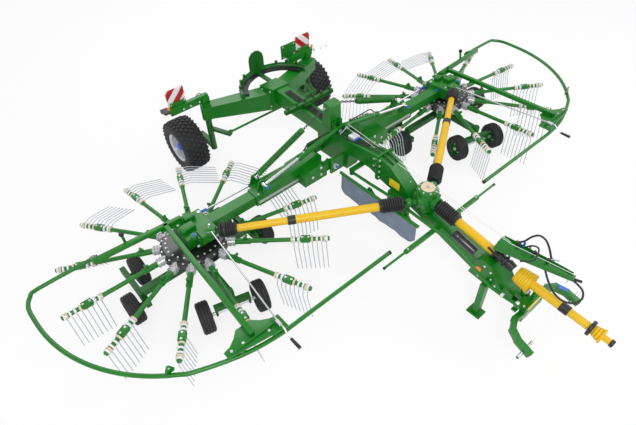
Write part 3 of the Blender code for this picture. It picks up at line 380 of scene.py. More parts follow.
def pipe(points, radius, sides=8):
    """A round tube swept along points, closed at both ends."""
    points = [Vector(p) for p in points]
    frames = [axis_frame(points[0], points[1])]
    for i in range(1, len(points)):
        ahead = points[min(i + 1, len(points) - 1)] - points[i - 1]
        lean = frames[-1].to_3x3().col[2].rotation_difference(ahead.normalized())
        turn = lean.to_matrix().to_4x4() @ frames[-1].to_3x3().to_4x4()
        frames.append(Matrix.Translation(points[i]) @ turn)
    shape = bmesh.new()
    bmesh.ops.create_circle(shape, segments=sides, radius=radius, matrix=frames[0])
    ring = shape.edges[:]
    for before, after in zip(frames, frames[1:]):
        grown = bmesh.ops.extrude_edge_only(shape, edges=ring)["geom"]
        ring = [item for item in grown if isinstance(item, bmesh.types.BMEdge)]
        moved = [item for item in grown if isinstance(item, bmesh.types.BMVert)]
        bmesh.ops.transform(shape, matrix=after @ before.inverted(), verts=moved)
    bmesh.ops.holes_fill(shape, edges=shape.edges, sides=sides)
    bmesh.ops.recalc_face_normals(shape, faces=shape.faces)
    return shape


def along_x(at):
    """A frame at a place whose Z runs along X."""
    return Matrix.Translation(Vector(at)) @ Matrix.Rotation(pi / 2, 4, "Y")


def smooth_route(points, steps):
    """Evenly spread points of a smooth curve through a cord's own points."""
    route = [Vector(p) for p in points]
    ends = [route[0] * 2 - route[1]] + route + [route[-1] * 2 - route[-2]]
    fine = []
    for i in range(1, len(ends) - 2):
        a, b, c, d = ends[i - 1:i + 3]
        for k in range(steps):
            t = k / steps
            fine.append(0.5 * (2 * b + (c - a) * t + (2 * a - 5 * b + 4 * c - d) * t ** 2
                               + (3 * b - a - 3 * c + d) * t ** 3))
    fine.append(route[-1])
    return fine


class Piece:
    """Gathers shapes of several finishes into one object that rides on a body."""

    def __init__(self, name):
        self.name = name
        self.whole = bmesh.new()
        self.finishes = []

    def add(self, shape, finish_name, place=None, keep=False):
        """Takes a shape in; keep leaves it for another copy."""
        if finish_name not in self.finishes:
            self.finishes.append(finish_name)
        index = self.finishes.index(finish_name)
        for face in shape.faces:
            face.material_index = index
        mesh = bpy.data.meshes.new("shape")
        shape.to_mesh(mesh)
        if place is not None:
            mesh.transform(place)
        self.whole.from_mesh(mesh)
        bpy.data.meshes.remove(mesh)
        if not keep:
            shape.free()

    def add_piece(self, other, place):
        """Takes in a placed copy of another piece that shares the list of finishes."""
        mesh = bpy.data.meshes.new("shape")
        other.whole.to_mesh(mesh)
        mesh.transform(place)
        self.whole.from_mesh(mesh)
        bpy.data.meshes.remove(mesh)

    def bolt(self, at, way, radius=None, finish_name="bolt_zinc"):
        """A hexagon head on a washer, standing out along way."""
        radius = radius or sizes().bolt
        at, way = Vector(at), Vector(way).normalized()
        self.add(rod(at, at + way * radius * 0.3, radius * 1.5, sides=12), finish_name)
        self.add(rod(at, at + way * radius * 0.95, radius, sides=6), finish_name)

    def done(self, body, replaces=()):
        """Makes the object, its place in its mesh, and hands it to the frame."""
        bmesh.ops.translate(self.whole, verts=self.whole.verts, vec=(0, LINE_Y, 0))
        mesh = bpy.data.meshes.new(self.name)
        self.whole.to_mesh(mesh)
        self.whole.free()
        mesh.polygons.foreach_set("use_smooth", [True] * len(mesh.polygons))
        mesh.set_sharp_from_angle(angle=SHARP)
        for name in self.finishes:
            mesh.materials.append(look(name))
        piece = bpy.data.objects.new(self.name, mesh)
        bpy.context.scene.collection.objects.link(piece)
        if body:
            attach(piece, body)
        if replaces:
            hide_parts(*replaces)
        return piece


def rounded_copy(node, finish_name):
    """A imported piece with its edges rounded, standing in for the sharp one."""
    source = frame["nodes"][node]
    mesh = source.data.copy()
    mesh.name = node + "_finished"
    shape = bmesh.new()
    shape.from_mesh(mesh)
    bmesh.ops.remove_doubles(shape, verts=shape.verts, dist=0.00005)
    bmesh.ops.dissolve_limit(shape, angle_limit=radians(0.5), verts=shape.verts,
                             edges=shape.edges)
    shape.to_mesh(mesh)
    shape.free()
    mesh.materials.clear()
    mesh.materials.append(look(finish_name))
    mesh.polygons.foreach_set("use_smooth", [True] * len(mesh.polygons))
    mesh.polygons.foreach_set("material_index", [0] * len(mesh.polygons))
    mesh.set_sharp_from_angle(angle=SHARP)
    piece = bpy.data.objects.new(node + "_finished", mesh)
    bpy.context.scene.collection.objects.link(piece)
    soft = piece.modifiers.new("rounding", "BEVEL")
    soft.width = sizes().edge
    soft.segments = 2
    soft.limit_method = "ANGLE"
    soft.angle_limit = SHARP
    soft.harden_normals = True
    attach(piece, body_of(source)[0])
    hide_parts(node)
    return piece


# ---------------------------------------------------------------- frame
def painted_frame():
    """Green frame pieces with rounded edges."""
    greens = ["main_frame", "drawbar", "axle_beam", "central_gearbox", "hose_holder", "jack_stand",
              "headstock", "steering_rod", "steering_crank", "tie_rod", "curtain_arms"]
    for name, _ in SIDES:
        greens += ["boom_" + name, "boom_arm_" + name, "lift_cylinder_" + name]
    for node in greens:
        rounded_copy(node, "green_paint")
    # Painted shade: these parts underneath get the darker green.
    painted_shade_parts = ["front_arm_rack", "rear_arm_rack"]
    for name, _ in SIDES:
        painted_shade_parts += ["knuckle_" + name, "chassis_" + name, "front_axle_" + name]
    for node in painted_shade_parts:
        rounded_copy(node, "painted_shade_green_paint")
    for name, _ in SIDES:
        rounded_copy("lift_rod_" + name, "bright_steel")


def frame_fittings():
    """Bolts, labels, pins and pipes on the frame."""
    piece = Piece("frame_fittings")
    for x in (-0.106, 0.106):
        for z in (0.88, 0.96, 1.04, 1.12):
            piece.bolt((x, -0.825, z), (0, -1, 0))
            piece.bolt((x, -0.778, z), (0, 1, 0))
    for name, side in SIDES:
        pin = Vector((side * PIVOT_X, -0.25, PIVOT_Z))
        piece.add(rod(pin, pin + Vector((0, -0.030, 0)), 0.034), "bolt_zinc")
        piece.add(rod(pin + Vector((0, -0.03, 0)), pin + Vector((0, -0.040, 0)), 0.018), "blue_cap")
        back = Vector((side * PIVOT_X, 0.21, PIVOT_Z))
        piece.add(rod(back, back + Vector((0, 0.025, 0)), 0.034), "bolt_zinc")
        piece.add(rod((side * 0.05, -0.119, 1.12), (side * 0.05, -0.127, 1.12), 0.020), "bolt_zinc")
        piece.add(rod((side * 0.05, -0.127, 1.12), (side * 0.05, -0.132, 1.12), 0.010), "blue_cap")
        for y, z in ((-0.72, 1.08), (-0.72, 0.98)):
            piece.bolt((side * 0.0905, y, z), (side, 0, 0), 0.009)
        for y, z in ((-2.34, 0.67), (-2.42, 0.64), (-2.44, 0.55), (-2.50, 0.50), (-2.30, 0.49)):
            piece.bolt((side * 0.125, y, z), (side, 0, 0), 0.009)
        disc = Vector((side * 0.125, -2.285, 0.585))
        piece.add(rod(disc, disc + Vector((side * 0.008, 0, 0)), 0.034, sides=24),
                  "amber_reflector")
        for y, z in ((1.15, 0.90), (1.15, 1.12), (1.33, 0.90), (1.33, 1.08)):
            piece.bolt((side * 0.14, y, z), (side, 0, 0))
        piece.add(block((side * 0.0912, -1.05, 0.905), (0.002, 0.15, 0.10)), "label_yellow")
        piece.add(block((side * 0.0912, -2.50, 0.448), (0.002, 0.12, 0.035)), "label_yellow")
        inner = Vector((side * 0.02, 1.23, 0.96))
        outer = Vector((side * 0.93, 1.59, 0.97))
        arm = axis_frame(inner, outer)
        piece.add(block((side * 0.1015, 0.02, 0.36), (0.002, 0.05, 0.09), arm), "label_yellow")
        piece.add(block((side * 0.0895, -0.02, 0.78), (0.002, 0.025, 0.06), arm), "blue_cap")
        king = Vector((side * 0.87, 1.62, 1.08))
        piece.bolt(king + Vector((side * 0.045, 0.045, 0)), (0, 0, 1), 0.009)
        for x in (0.97, 1.10, 1.20):
            piece.bolt((side * x, 1.5485, BOARD_BAR_Z), (0, -1, 0), 0.009)
    gear_top = GEAR + Vector((0, 0, 0.11))
    piece.add(turned([(0, 0), (0.118, 0), (0.112, 0.022), (0.075, 0.034), (0.03, 0.038),
                      (0, 0.038)], Matrix.Translation(gear_top), 28), "green_paint")
    piece.add(rod(gear_top + Vector((0, 0, 0.030)), gear_top + Vector((0, 0, 0.040)), 0.078),
              "cream_collar")
    piece.add(rod(gear_top + Vector((0, 0, 0.034)), gear_top + Vector((0, 0, 0.056)), 0.018),
              "label_grey")
    for i in range(8):
        angle = 2 * pi * i / 8 + 0.2
        spot = gear_top + Vector((0.095 * cos(angle), 0.095 * sin(angle), 0.024))
        piece.bolt(spot, (0, 0, 1), 0.008)
    for i, x in enumerate((-0.035, -0.012, 0.012, 0.035)):
        line = [(x, 0.95, 1.163), (x, 0.20, 1.112), (x * 2.2, -0.02, 1.105), (x * 2.2, -0.24, 1.085),
                (x, -0.55, 1.128), (x, -0.80, 1.150), (x, -0.97, 1.112)]
        if i % 3:
            line = line[:5]
        piece.add(pipe(smooth_route(line, 4), 0.0075, 8), "black_rubber")
    piece.add(block((0.0, -0.30, 1.105), (0.10, 0.10, 0.05), edge=0.004), "bolt_zinc")
    for x in (-0.03, 0.0, 0.03):
        piece.add(rod((x, -0.345, 1.11), (x, -0.375, 1.11), 0.010, sides=12), "blue_cap")
    for y in (-1.30, -1.20, -1.08):
        piece.bolt((0.0, y, 0.9905), (0, 0, 1), 0.006)
    piece.done("frame")


def racks_and_boards():
    """Striped warning boards on their brackets, markers, and the rear rack's bands."""
    rack = Piece("rack_band")
    for radius, height, start, size, tone in ((0.55, 1.10, 165, (0.012, 0.11), "green_paint"),
                                              (0.49, 1.09, 160, (0.07, 0.02), "black_rubber")):
        arc = [Vector((0.08 + radius * cos(radians(a)), 1.18 + radius * sin(radians(a)), height))
               for a in range(start, 179 - start, -10)]
        for first, second in zip(arc, arc[1:]):
            rack.add(bar(first, second, size, edge=0), tone)
    rack.done("frame")
    for name, side in SIDES:
        middle, start, end = BOARDS[name]
        piece = Piece("board_" + name)
        piece.add(block((side * 0.87, BOARD_Y, 1.126), (0.10, 0.10, 0.09), edge=0.004),
                  "green_paint")
        piece.add(bar((start, BOARD_Y, BOARD_BAR_Z), (end, BOARD_Y, BOARD_BAR_Z), (0.06, 0.10)),
                  "green_paint")
        piece.add(block((middle, 1.61, 1.19), (0.20, 0.03, 0.12), edge=0.003), "green_paint")
        piece.add(block((middle, 1.62, 1.305), (0.25, 0.010, 0.25), edge=0.002), "board_stripes")
        piece.add(block((middle, 1.628, 1.305), (0.20, 0.006, 0.20)), "bolt_zinc")
        for shift in (-0.09, 0.09):
            # Painted shade: these small upright bars get the darker green.
            piece.add(bar((middle + shift, 1.605, 1.16), (middle + shift, 1.605, 1.26),
                          (0.018, 0.012)), "painted_shade_green_paint")
            piece.bolt((middle + shift, 1.599, 1.24), (0, -1, 0), 0.008)
        tip = middle + side * 0.14
        piece.add(rod((tip, 1.585, 1.20), (tip, 1.585, 1.235), 0.016), "amber_reflector")
        piece.add(block((tip, 1.70, 1.12), (0.10, 0.14, 0.02), edge=0.004), "black_rubber")
        piece.add(block((tip + side * 0.02, 1.76, 1.10), (0.05, 0.05, 0.05), edge=0.006),
                  "black_rubber")
        if side > 0:
            piece.add(block((0.545, 1.60, 1.295), (0.26, 0.014, 0.20), edge=0.004), "green_paint")
            for x in (0.45, 0.64):
                for z in (1.22, 1.37):
                    piece.bolt((x, 1.593, z), (0, -1, 0), 0.007)
        piece.add(pipe(smooth_route([(side * 0.80, 1.66, 1.10), (side * 0.88, 1.70, 1.17),
                                     (side * 0.98, 1.68, 1.13), (side * 1.06, 1.64, 1.11)], 4),
                       0.006, 6), "black_rubber")
        piece.done("frame", ["warning_board_" + name])


# ---------------------------------------------------------------- drive line
def bellows(start, end, radius, ribs):
    """A rubber boot with round ribs."""
    span = (Vector(end) - Vector(start)).length
    profile = [(0, 0), (radius * 0.72, 0), (radius * 0.80, span * 0.03)]
    for i in range(ribs):
        low = span * (0.06 + 0.88 * i / ribs)
        step = span * 0.88 / ribs
        profile += [(radius * 0.80, low), (radius * 0.97, low + step * 0.22),
                    (radius, low + step * 0.42), (radius * 0.97, low + step * 0.62),
                    (radius * 0.80, low + step * 0.84)]
    profile += [(radius * 0.78, span), (0, span)]
    return turned(profile, axis_frame(start, end), 28)


def band(start, end, radius):
    """A collar with slightly rounded rims."""
    span = (Vector(end) - Vector(start)).length
    return turned([(0, 0), (radius * 0.97, 0), (radius, 0.003), (radius, span - 0.003),
                   (radius * 0.97, span), (0, span)], axis_frame(start, end), 24)


def sleeve(start, end, outer, inner):
    """An open tube."""
    span = (Vector(end) - Vector(start)).length
    return turned([(inner, 0), (outer, 0), (outer, span), (inner, span)],
                  axis_frame(start, end), 24)


def drive_shafts():
    """Yellow guards, black bellows and bands of every drive shaft."""
    boot = sizes().boot
    for name, side in SIDES:
        near = Vector((side * SHAFT_NEAR.x, SHAFT_NEAR.y, SHAFT_NEAR.z))
        far = Vector((side * SHAFT_FAR.x, SHAFT_FAR.y, SHAFT_FAR.z))
        way = (far - near).normalized()
        inner = Piece("drive_guard_inner_" + name)
        inner.add(bellows(near + way * 0.065, near + way * 0.33, boot, 9), "black_rubber")
        inner.add(sleeve(near + way * 0.32, near + way * 1.255, 0.046, 0.0405), "yellow_plastic")
        inner.add(sleeve(near + way * 1.225, near + way * 1.31, 0.050, 0.0408), "black_rubber")
        inner.done("shaft_inner_" + name, ["shaft_inner_" + name])
        outer = Piece("drive_guard_outer_" + name)
        outer.add(bellows(far - way * 0.035, far - way * 0.225, boot, 7), "black_rubber")
        outer.add(rod(far - way * 0.21, far - way * 1.19, 0.040, sides=24), "yellow_plastic")
        outer.done("shaft_outer_" + name, ["shaft_outer_" + name])

    fixed = Piece("front_drive")
    fixed.add(bellows((0, -1.605, 0.917), (0, -1.865, 0.873), boot, 9), "black_rubber")
    fixed.add(rod((0, -1.85, 0.876), (0, -2.345, 0.794), 0.046, sides=24), "yellow_plastic")
    fixed.add(rod((0, -2.33, 0.797), (0, -2.52, 0.765), 0.040, sides=20), "black_rubber")
    fixed.add(rod((0, -2.50, 0.768), (0, -2.575, 0.745), 0.052, 0.044, 20), "black_rubber")
    fixed.add(block((0, -2.34, 0.765), (0.06, 0.05, 0.075), edge=0.004), "black_rubber")
    for y in (-2.34, -2.40, -2.46):
        z = 0.765 + (y + 2.52) / 0.72 * 0.119
        fixed.add(band((0, y, z), (0, y - 0.022, z - 0.0036), 0.062), "black_rubber")
    fixed.add(pipe([(-0.05, -2.28, 0.86), (-0.055, -2.36, 0.83), (-0.05, -2.44, 0.80)], 0.012, 8),
              "black_rubber")
    fixed.done("frame", ["front_drive_shaft"])

    rear_end, front_end = Vector((0, -2.62, 0.715)), Vector((0, -3.62, 0.645))
    way = (front_end - rear_end).normalized()
    rear = Piece("input_guard_rear")
    profile = [(0, 0), (0.080, 0), (0.086, 0.02)]
    for i in range(5):
        at = 0.025 + i * 0.026
        profile += [(0.088 + i * 0.003, at), (0.092 + i * 0.003, at + 0.008),
                    (0.092 + i * 0.003, at + 0.016), (0.088 + i * 0.003, at + 0.024)]
    profile += [(0.105, 0.16), (0.105, 0.17), (0.05, 0.165), (0, 0.165)]
    rear.add(turned(profile, axis_frame(rear_end, front_end), 28), "yellow_plastic")
    rear.add(sleeve(rear_end + way * 0.15, rear_end + way * 0.50, 0.046, 0.0405), "yellow_plastic")
    rear.add(sleeve(rear_end + way * 0.475, rear_end + way * 0.565, 0.050, 0.0408), "black_rubber")
    rear.add(block((0, -2.845, 0.647), (0.05, 0.03, 0.046), edge=0.002), "green_paint")
    rear.done("headstock", ["input_shaft_rear"])
    front = Piece("input_guard_front")
    front.add(rod(rear_end + way * 0.46, front_end - way * 0.14, 0.040, sides=24),
              "yellow_plastic")
    profile = [(0, 0), (0.043, 0), (0.050, 0.03), (0.058, 0.035), (0.058, 0.05), (0.052, 0.055),
               (0.060, 0.06), (0.066, 0.065), (0.066, 0.08), (0.058, 0.085), (0.070, 0.092),
               (0.075, 0.10), (0.075, 0.115), (0, 0.115)]
    front.add(turned(profile, axis_frame(front_end - way * 0.215, front_end), 28),
              "yellow_plastic")
    front.add(turned([(0.045, 0), (0.072, 0), (0.080, 0.008), (0.080, 0.028), (0.072, 0.036),
                      (0.045, 0.036)], axis_frame(front_end - way * 0.235, front_end), 28),
              "black_rubber")
    front.add(rod(front_end - way * 0.11, front_end - way * 0.015, 0.030, sides=20),
              "yellow_plastic")
    front.add(turned([(0.014, 0), (0.036, 0), (0.038, 0.006), (0.038, 0.028), (0.034, 0.034),
                      (0.014, 0.034)], axis_frame(front_end - way * 0.034, front_end), 24),
              "black_rubber")
    front.done("input_shaft_front", ["input_shaft_front"])

    tube = Piece("document_box")
    start, end = Vector((-0.072, -1.90, 0.7650)), Vector((-0.072, -2.18, 0.7030))
    away = (end - start).normalized()
    tube.add(turned([(0, 0), (0.044, 0), (0.049, 0.006), (0.049, 0.276), (0.044, 0.283),
                     (0, 0.283)], axis_frame(start, end), 28), "black_cover")
    tube.add(band(start - away * 0.003, start + away * 0.06, 0.0525), "black_cover")
    tube.done("frame", ["document_tube"])


# ---------------------------------------------------------------- headstock and hoses
def headstock_fittings():
    """Hitch pins, labels, ball joints and end caps of the headstock and steering."""
    piece = Piece("headstock_fittings")
    for side in (-1, 1):
        for low, high in ((0.302, 0.398), (0.462, 0.545)):
            piece.add(rod((side * low, -3.085, 0.36), (side * high, -3.085, 0.36), 0.0152,
                          sides=20), "bright_steel")
        for x in (0.314, 0.534):
            piece.add(rod((side * x, -3.085, 0.334), (side * x, -3.085, 0.388), 0.0035, sides=8),
                      "bright_steel")
        knee, tip = Vector((side * 0.42, -3.00, 0.40)), Vector((side * 0.43, -3.13, 0.36))
        out = (tip - knee).normalized()
        piece.add(bar(tip + out * 0.017, tip + out * 0.024, (0.05, 0.07)), "black_rubber")
    piece.add(block((0, -2.886, 0.515), (0.26, 0.002, 0.062)), "label_yellow")
    piece.add(block((-0.10, -2.886, 0.42), (0.04, 0.002, 0.05)), "label_grey")
    arm = axis_frame((0.375, -2.90, 0.43), (0.42, -3.00, 0.40))
    piece.add(block((0.0, 0.0385, 0.06), (0.045, 0.002, 0.11), arm), "blue_cap")
    piece.bolt((0.0, -2.76, 0.56), (0, 0, 1), 0.020)
    piece.bolt((-0.17, -2.85, 0.57), (0, 0, 1), 0.009)
    for x in (-0.14, -0.05, 0.05, 0.14):
        piece.bolt((x, -2.886, 0.375), (0, -1, 0), 0.009)
    piece.done("headstock")

    ends = Piece("steering_rod_ends")
    for x, y, z in ((-0.24, -2.805, 0.64), (-0.215, -0.50, 0.8347)):
        ends.add(turned([(0, 0), (0.020, 0), (0.020, 0.010), (0.012, 0.018), (0, 0.020)],
                        Matrix.Translation((x, y, z)), 16), "bolt_zinc")
    ends.add(rod((-0.24, -2.66, 0.600), (-0.24, -2.63, 0.600), 0.025, sides=6), "bolt_zinc")
    ends.done("steering_rod")


HOSES = {
    "hose_1": [(0.1317, -2.45, 0.938), (0.139, -2.52, 1.00), (0.145, -2.57, 1.10),
               (0.150, -2.63, 1.165), (0.155, -2.70, 1.15), (0.158, -2.76, 1.07),
               (0.154, -2.80, 1.00), (0.1472, -2.84, 0.966)],
    "hose_2": [(0.080, -2.80, 0.9262), (0.070, -2.83, 0.885), (0.030, -2.90, 0.835),
               (-0.020, -3.00, 0.800), (-0.030, -3.10, 0.790), (0.010, -3.18, 0.800),
               (0.070, -3.21, 0.840), (0.105, -3.18, 0.895), (0.112, -3.12, 0.925),
               (0.112, -3.055, 0.9435)],
}
HOSE_R = 0.010


def hoses_and_ropes():
    """Hydraulic hoses on the holder, their couplings, and the white pull ropes."""
    for name, points in HOSES.items():
        route = [p + Vector((0, LINE_Y, 0)) for p in smooth_route(points, 3)]
        line = bpy.data.curves.new(name + "_line", "CURVE")
        line.dimensions = "3D"
        line.bevel_depth = HOSE_R
        line.bevel_resolution = 4
        line.use_fill_caps = True
        spline = line.splines.new("POLY")
        spline.points.add(len(route) - 1)
        for point, spot in zip(spline.points, route):
            point.co = (*spot, 1)
        spline.use_smooth = True
        line.materials.append(look("black_rubber"))
        hose = bpy.data.objects.new(name + "_line", line)
        bpy.context.scene.collection.objects.link(hose)
        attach(hose, "frame")
        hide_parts(name)

    piece = Piece("hose_fittings")
    for at, way in (((0.1317, -2.45, 0.938), (0.2, -0.6, 1)), ((0.1472, -2.84, 0.966), (0, 0.6, 1))):
        at, way = Vector(at), Vector(way).normalized()
        piece.add(rod(at - way * 0.012, at + way * 0.034, 0.0132, sides=6), "bright_steel")
    piece.add(rod((0.135, -2.80, 0.985), (0.165, -2.88, 1.010), 0.008, sides=12), "bright_steel")
    piece.add(rod((0.165, -2.88, 1.010), (0.215, -2.95, 1.035), 0.005, sides=10), "bright_steel")
    piece.add(rod((0.130, -2.60, 0.965), (0.130, -2.60, 1.015), 0.013, sides=6), "bright_steel")
    piece.add(rod((0.122, -2.54, 0.955), (0.122, -2.54, 1.010), 0.012, sides=14), "blue_cap")
    for y in (-2.50, -2.66, -2.80):
        piece.add(block((0.095 - (y + 2.38) * 0.03, y, 0.962 + (-2.38 - y) * 0.07),
                        (0.05, 0.022, 0.03), edge=0.003), "black_rubber")
    rear, front = Vector((0.02, -2.33, 0.915)), Vector((0.11, -3.07, 0.97))
    tray = axis_frame(rear, front)
    for side in (-1, 1):
        lip = [Vector((side * wide, 0.024, along)) for wide, along in ((0.089, 0.02), (0.030, 0.72))]
        piece.add(bar(tray @ lip[0], tray @ lip[1], (0.006, 0.034), edge=0.002), "green_paint")
    piece.add(rod(tray @ Vector((0, 0.004, 0.0)), tray @ Vector((0, 0.004, 0.03)), 0.020),
              "green_paint")
    loop = [(-0.06, -2.62, 0.955), (-0.02, -2.72, 1.02), (0.06, -2.70, 1.10), (0.115, -2.62, 1.04),
            (0.120, -2.56, 0.965)]
    piece.add(pipe(smooth_route(loop, 4), 0.008, 8), "black_rubber")
    piece.add(rod((0.112, -3.075, 0.962), (0.112, -3.135, 0.985), 0.013, sides=14),
              "black_rubber")
    piece.add(rod((0.095, -3.03, 0.925), (0.085, -3.03, 0.885), 0.006, sides=10), "bright_steel")
    radius = sizes().rope
    for start, end in (((0.02, -0.15, 1.155), (0.03, -2.44, 0.990)),
                       ((0.07, -0.10, 1.165), (0.05, -2.44, 0.988)),
                       ((0.03, -2.44, 0.990), (0.115, -3.06, 1.010)),
                       ((-0.10, -0.17, 1.125), (0.02, -0.15, 1.155))):
        piece.add(rod(start, end, radius, sides=8), "white_rope")
    piece.done("frame")


# ---------------------------------------------------------------- booms
def boom_fittings():
    """Caps, rivets, scale strip, width cylinder and pins on each boom and arm."""
    for name, side in SIDES:
        boom = Piece("boom_fittings_" + name)
        high, low, front = 0.824, 0.676, -0.084
        boom.add(block((side * 0.98, front - 0.0012, 0.715), (0.60, 0.0024, 0.040)), "label_grey")
        boom.add(block((side * 0.62, front - 0.0012, 0.715), (0.10, 0.0024, 0.040)), "label_white")
        for x, y in ((0.75, -0.03), (0.98, 0.02), (1.13, -0.03)):
            boom.add(rod((side * x, y, high - 0.002), (side * x, y, high + 0.004), 0.014),
                     "blue_cap")
        for x in (0.60, 0.84, 1.05, 1.26):
            boom.bolt((side * x, -0.065, high), (0, 0, 1), 0.006)
        for x, z in ((0.45, 0.74), (0.45, 0.84), (0.58, 0.76)):
            boom.bolt((side * x, -0.215, z), (0, -1, 0), 0.012)
        boom.add(rod((side * 1.165, -0.120, 0.905), (side * 1.165, -0.002, 0.905), 0.014),
                 "bolt_zinc")
        boom.add(rod((side * 1.165, 0.075, 0.915), (side * 1.165, 0.148, 0.915), 0.014),
                 "bolt_zinc")
        boom.add(rod((side * 1.165, -0.120, 0.905), (side * 1.165, -0.128, 0.905), 0.022),
                 "blue_cap")
        boom.add(block((side * 1.165, -0.1, 0.866), (0.10, 0.014, 0.10), edge=0.003),
                 "green_paint")
        boom.add(rod((side * 0.46, 0.200, 0.735), (side * 1.20, 0.200, 0.745), 0.020, sides=20),
                 "green_paint")
        boom.add(rod((side * 1.19, 0.200, 0.745), (side * 1.215, 0.200, 0.745), 0.024, sides=20),
                 "black_rubber")
        for x in (0.62, 1.14):
            boom.add(block((side * x, 0.150, 0.742), (0.04, 0.135, 0.045), edge=0.003),
                     "green_paint")
        boom.add(bar((side * 0.36, -0.10, 0.705), (side * 1.28, -0.096, 0.688), (0.008, 0.02)),
                 "green_paint")
        boom.done("boom_" + name)

        arm = Piece("arm_fittings_" + name)
        arm.add(rod((side * 1.18, 0.200, 0.745), (side * 1.90, 0.200, 0.757), 0.0105, sides=16),
                "bright_steel")
        arm.add(block((side * 1.915, 0.19, 0.76), (0.06, 0.06, 0.05), edge=0.005), "green_paint")
        arm.add(rod((side * 1.80, 0.2, 0.757), (side * 1.90, 0.2, 0.757), 0.017, sides=16),
                "blue_cap")
        for x, y in ((1.93, 0.12), (2.02, 0.14), (2.10, 0.13), (2.20, 0.10), (1.95, -0.13),
                     (2.18, -0.05), (2.20, 0.02)):
            arm.bolt((side * x, y, 0.860), (0, 0, 1), 0.013)
        for x in (1.93, 2.04, 2.16):
            arm.bolt((side * x, -0.2305, 0.775), (0, -1, 0), 0.011)
        arm.add(block((side * 1.90, -0.03, 0.8115), (0.06, 0.05, 0.003)), "blue_cap")
        arm.add(block((side * 2.15, -0.03, 0.885), (0.16, 0.10, 0.05), edge=0.008), "green_paint")
        arm.add(block((side * 2.06, 0.09, 0.885), (0.12, 0.07, 0.05), edge=0.008), "green_paint")
        arm.add(rod((side * 2.16, -0.18, 0.86), (side * 2.16, -0.18, 0.905), 0.035, sides=20),
                "green_paint")
        arm.add(rod((side * 2.16, -0.18, 0.905), (side * 2.16, -0.18, 0.912), 0.018), "blue_cap")
        arm.add(turned([(0, 0), (0.075, 0), (0.082, 0.01), (0.082, 0.02), (0.07, 0.03), (0, 0.03)],
                       axis_frame((side * 1.86, -0.316, 0.874), (side * 1.95, -0.26, 0.87)), 24),
                "black_rubber")
        arm.done("boom_arm_" + name)

        cylinder = Piece("cylinder_gland_" + name)
        foot, eye = Vector((side * 0.05, -0.06, 1.12)), Vector((side * 1.165, -0.06, 0.905))
        way = (eye - foot).normalized()
        cylinder.add(sleeve(foot + way * 0.575, foot + way * 0.615, 0.037, 0.0178), "green_paint")
        cylinder.add(rod(foot + way * 0.54 + Vector((0, 0, 0.02)),
                         foot + way * 0.54 + Vector((0, 0, 0.055)), 0.012, sides=12),
                     "bolt_zinc")
        top = foot + way * 0.54 + Vector((0, 0, 0.05))
        cylinder.add(pipe(smooth_route([top, top - way * 0.08 + Vector((0, 0, 0.055)),
                                        top - way * 0.22 + Vector((0, 0.0, 0.03)),
                                        foot + way * 0.12 + Vector((0, 0, 0.040))], 5),
                          0.007, 8), "black_rubber")
        cylinder.done("lift_cylinder_" + name)


def relief_springs():
    """Coil springs and chains that bend between the tower and the boom."""
    turns, wire = sizes().spring_turns, sizes().spring_wire
    for name, side in SIDES:
        top = Vector((side * 0.1220, 0.1095, 1.34))
        foot = Vector((side * 1.155, 0.1095, 0.918))
        way = (foot - top).normalized()
        span = (foot - top).length
        lie = axis_frame(top, foot)
        piece = Piece("relief_coil_" + name)
        first, last = 0.36, span - 0.05
        points = []
        # Painted shade: the rod inside the coil gets the darker green.
        piece.add(rod(lie @ Vector((0, 0, first)), lie @ Vector((0, 0, last)), 0.028, sides=18),
                  "painted_shade_green_paint")
        for i in range(turns * 12 + 1):
            angle = 2 * pi * i / 12
            spot = Vector((0.033 * cos(angle), 0.033 * sin(angle),
                           first + (last - first) * i / (turns * 12)))
            points.append(lie @ spot)
        piece.add(pipe(points, wire, 6), "green_paint")
        for at in (first, last):
            piece.add(rod(lie @ Vector((0, 0, at - 0.02)), lie @ Vector((0, 0, at + 0.02)), 0.034,
                          sides=18), "green_paint")
        for i in range(9):
            at = 0.005 + i * 0.038
            link = []
            for k in range(13):
                angle = 2 * pi * k / 12
                across = 0.013 * cos(angle)
                spot = (across, 0, at + 0.024 + 0.026 * sin(angle))
                if i % 2:
                    spot = (0, across, at + 0.024 + 0.026 * sin(angle))
                link.append(lie @ Vector(spot))
            piece.add(pipe(link, 0.0045, 6), "dark_steel")
        piece.add(rod(lie @ Vector((0, 0, last)), foot, 0.009, sides=12), "bolt_zinc")
        coil = piece.done(None, ["relief_spring_" + name])
        shift = Vector((0, LINE_Y, 0))
        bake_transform(coil, "frame", "boom_" + name, start=tuple(top + shift), end=tuple(foot + shift))
        pin = Piece("spring_pin_" + name)
        pin.add(rod((side * 0.084, 0.1095, 1.34), (side * 0.132, 0.1095, 1.34), 0.0125), "bolt_zinc")
        pin.done("frame")


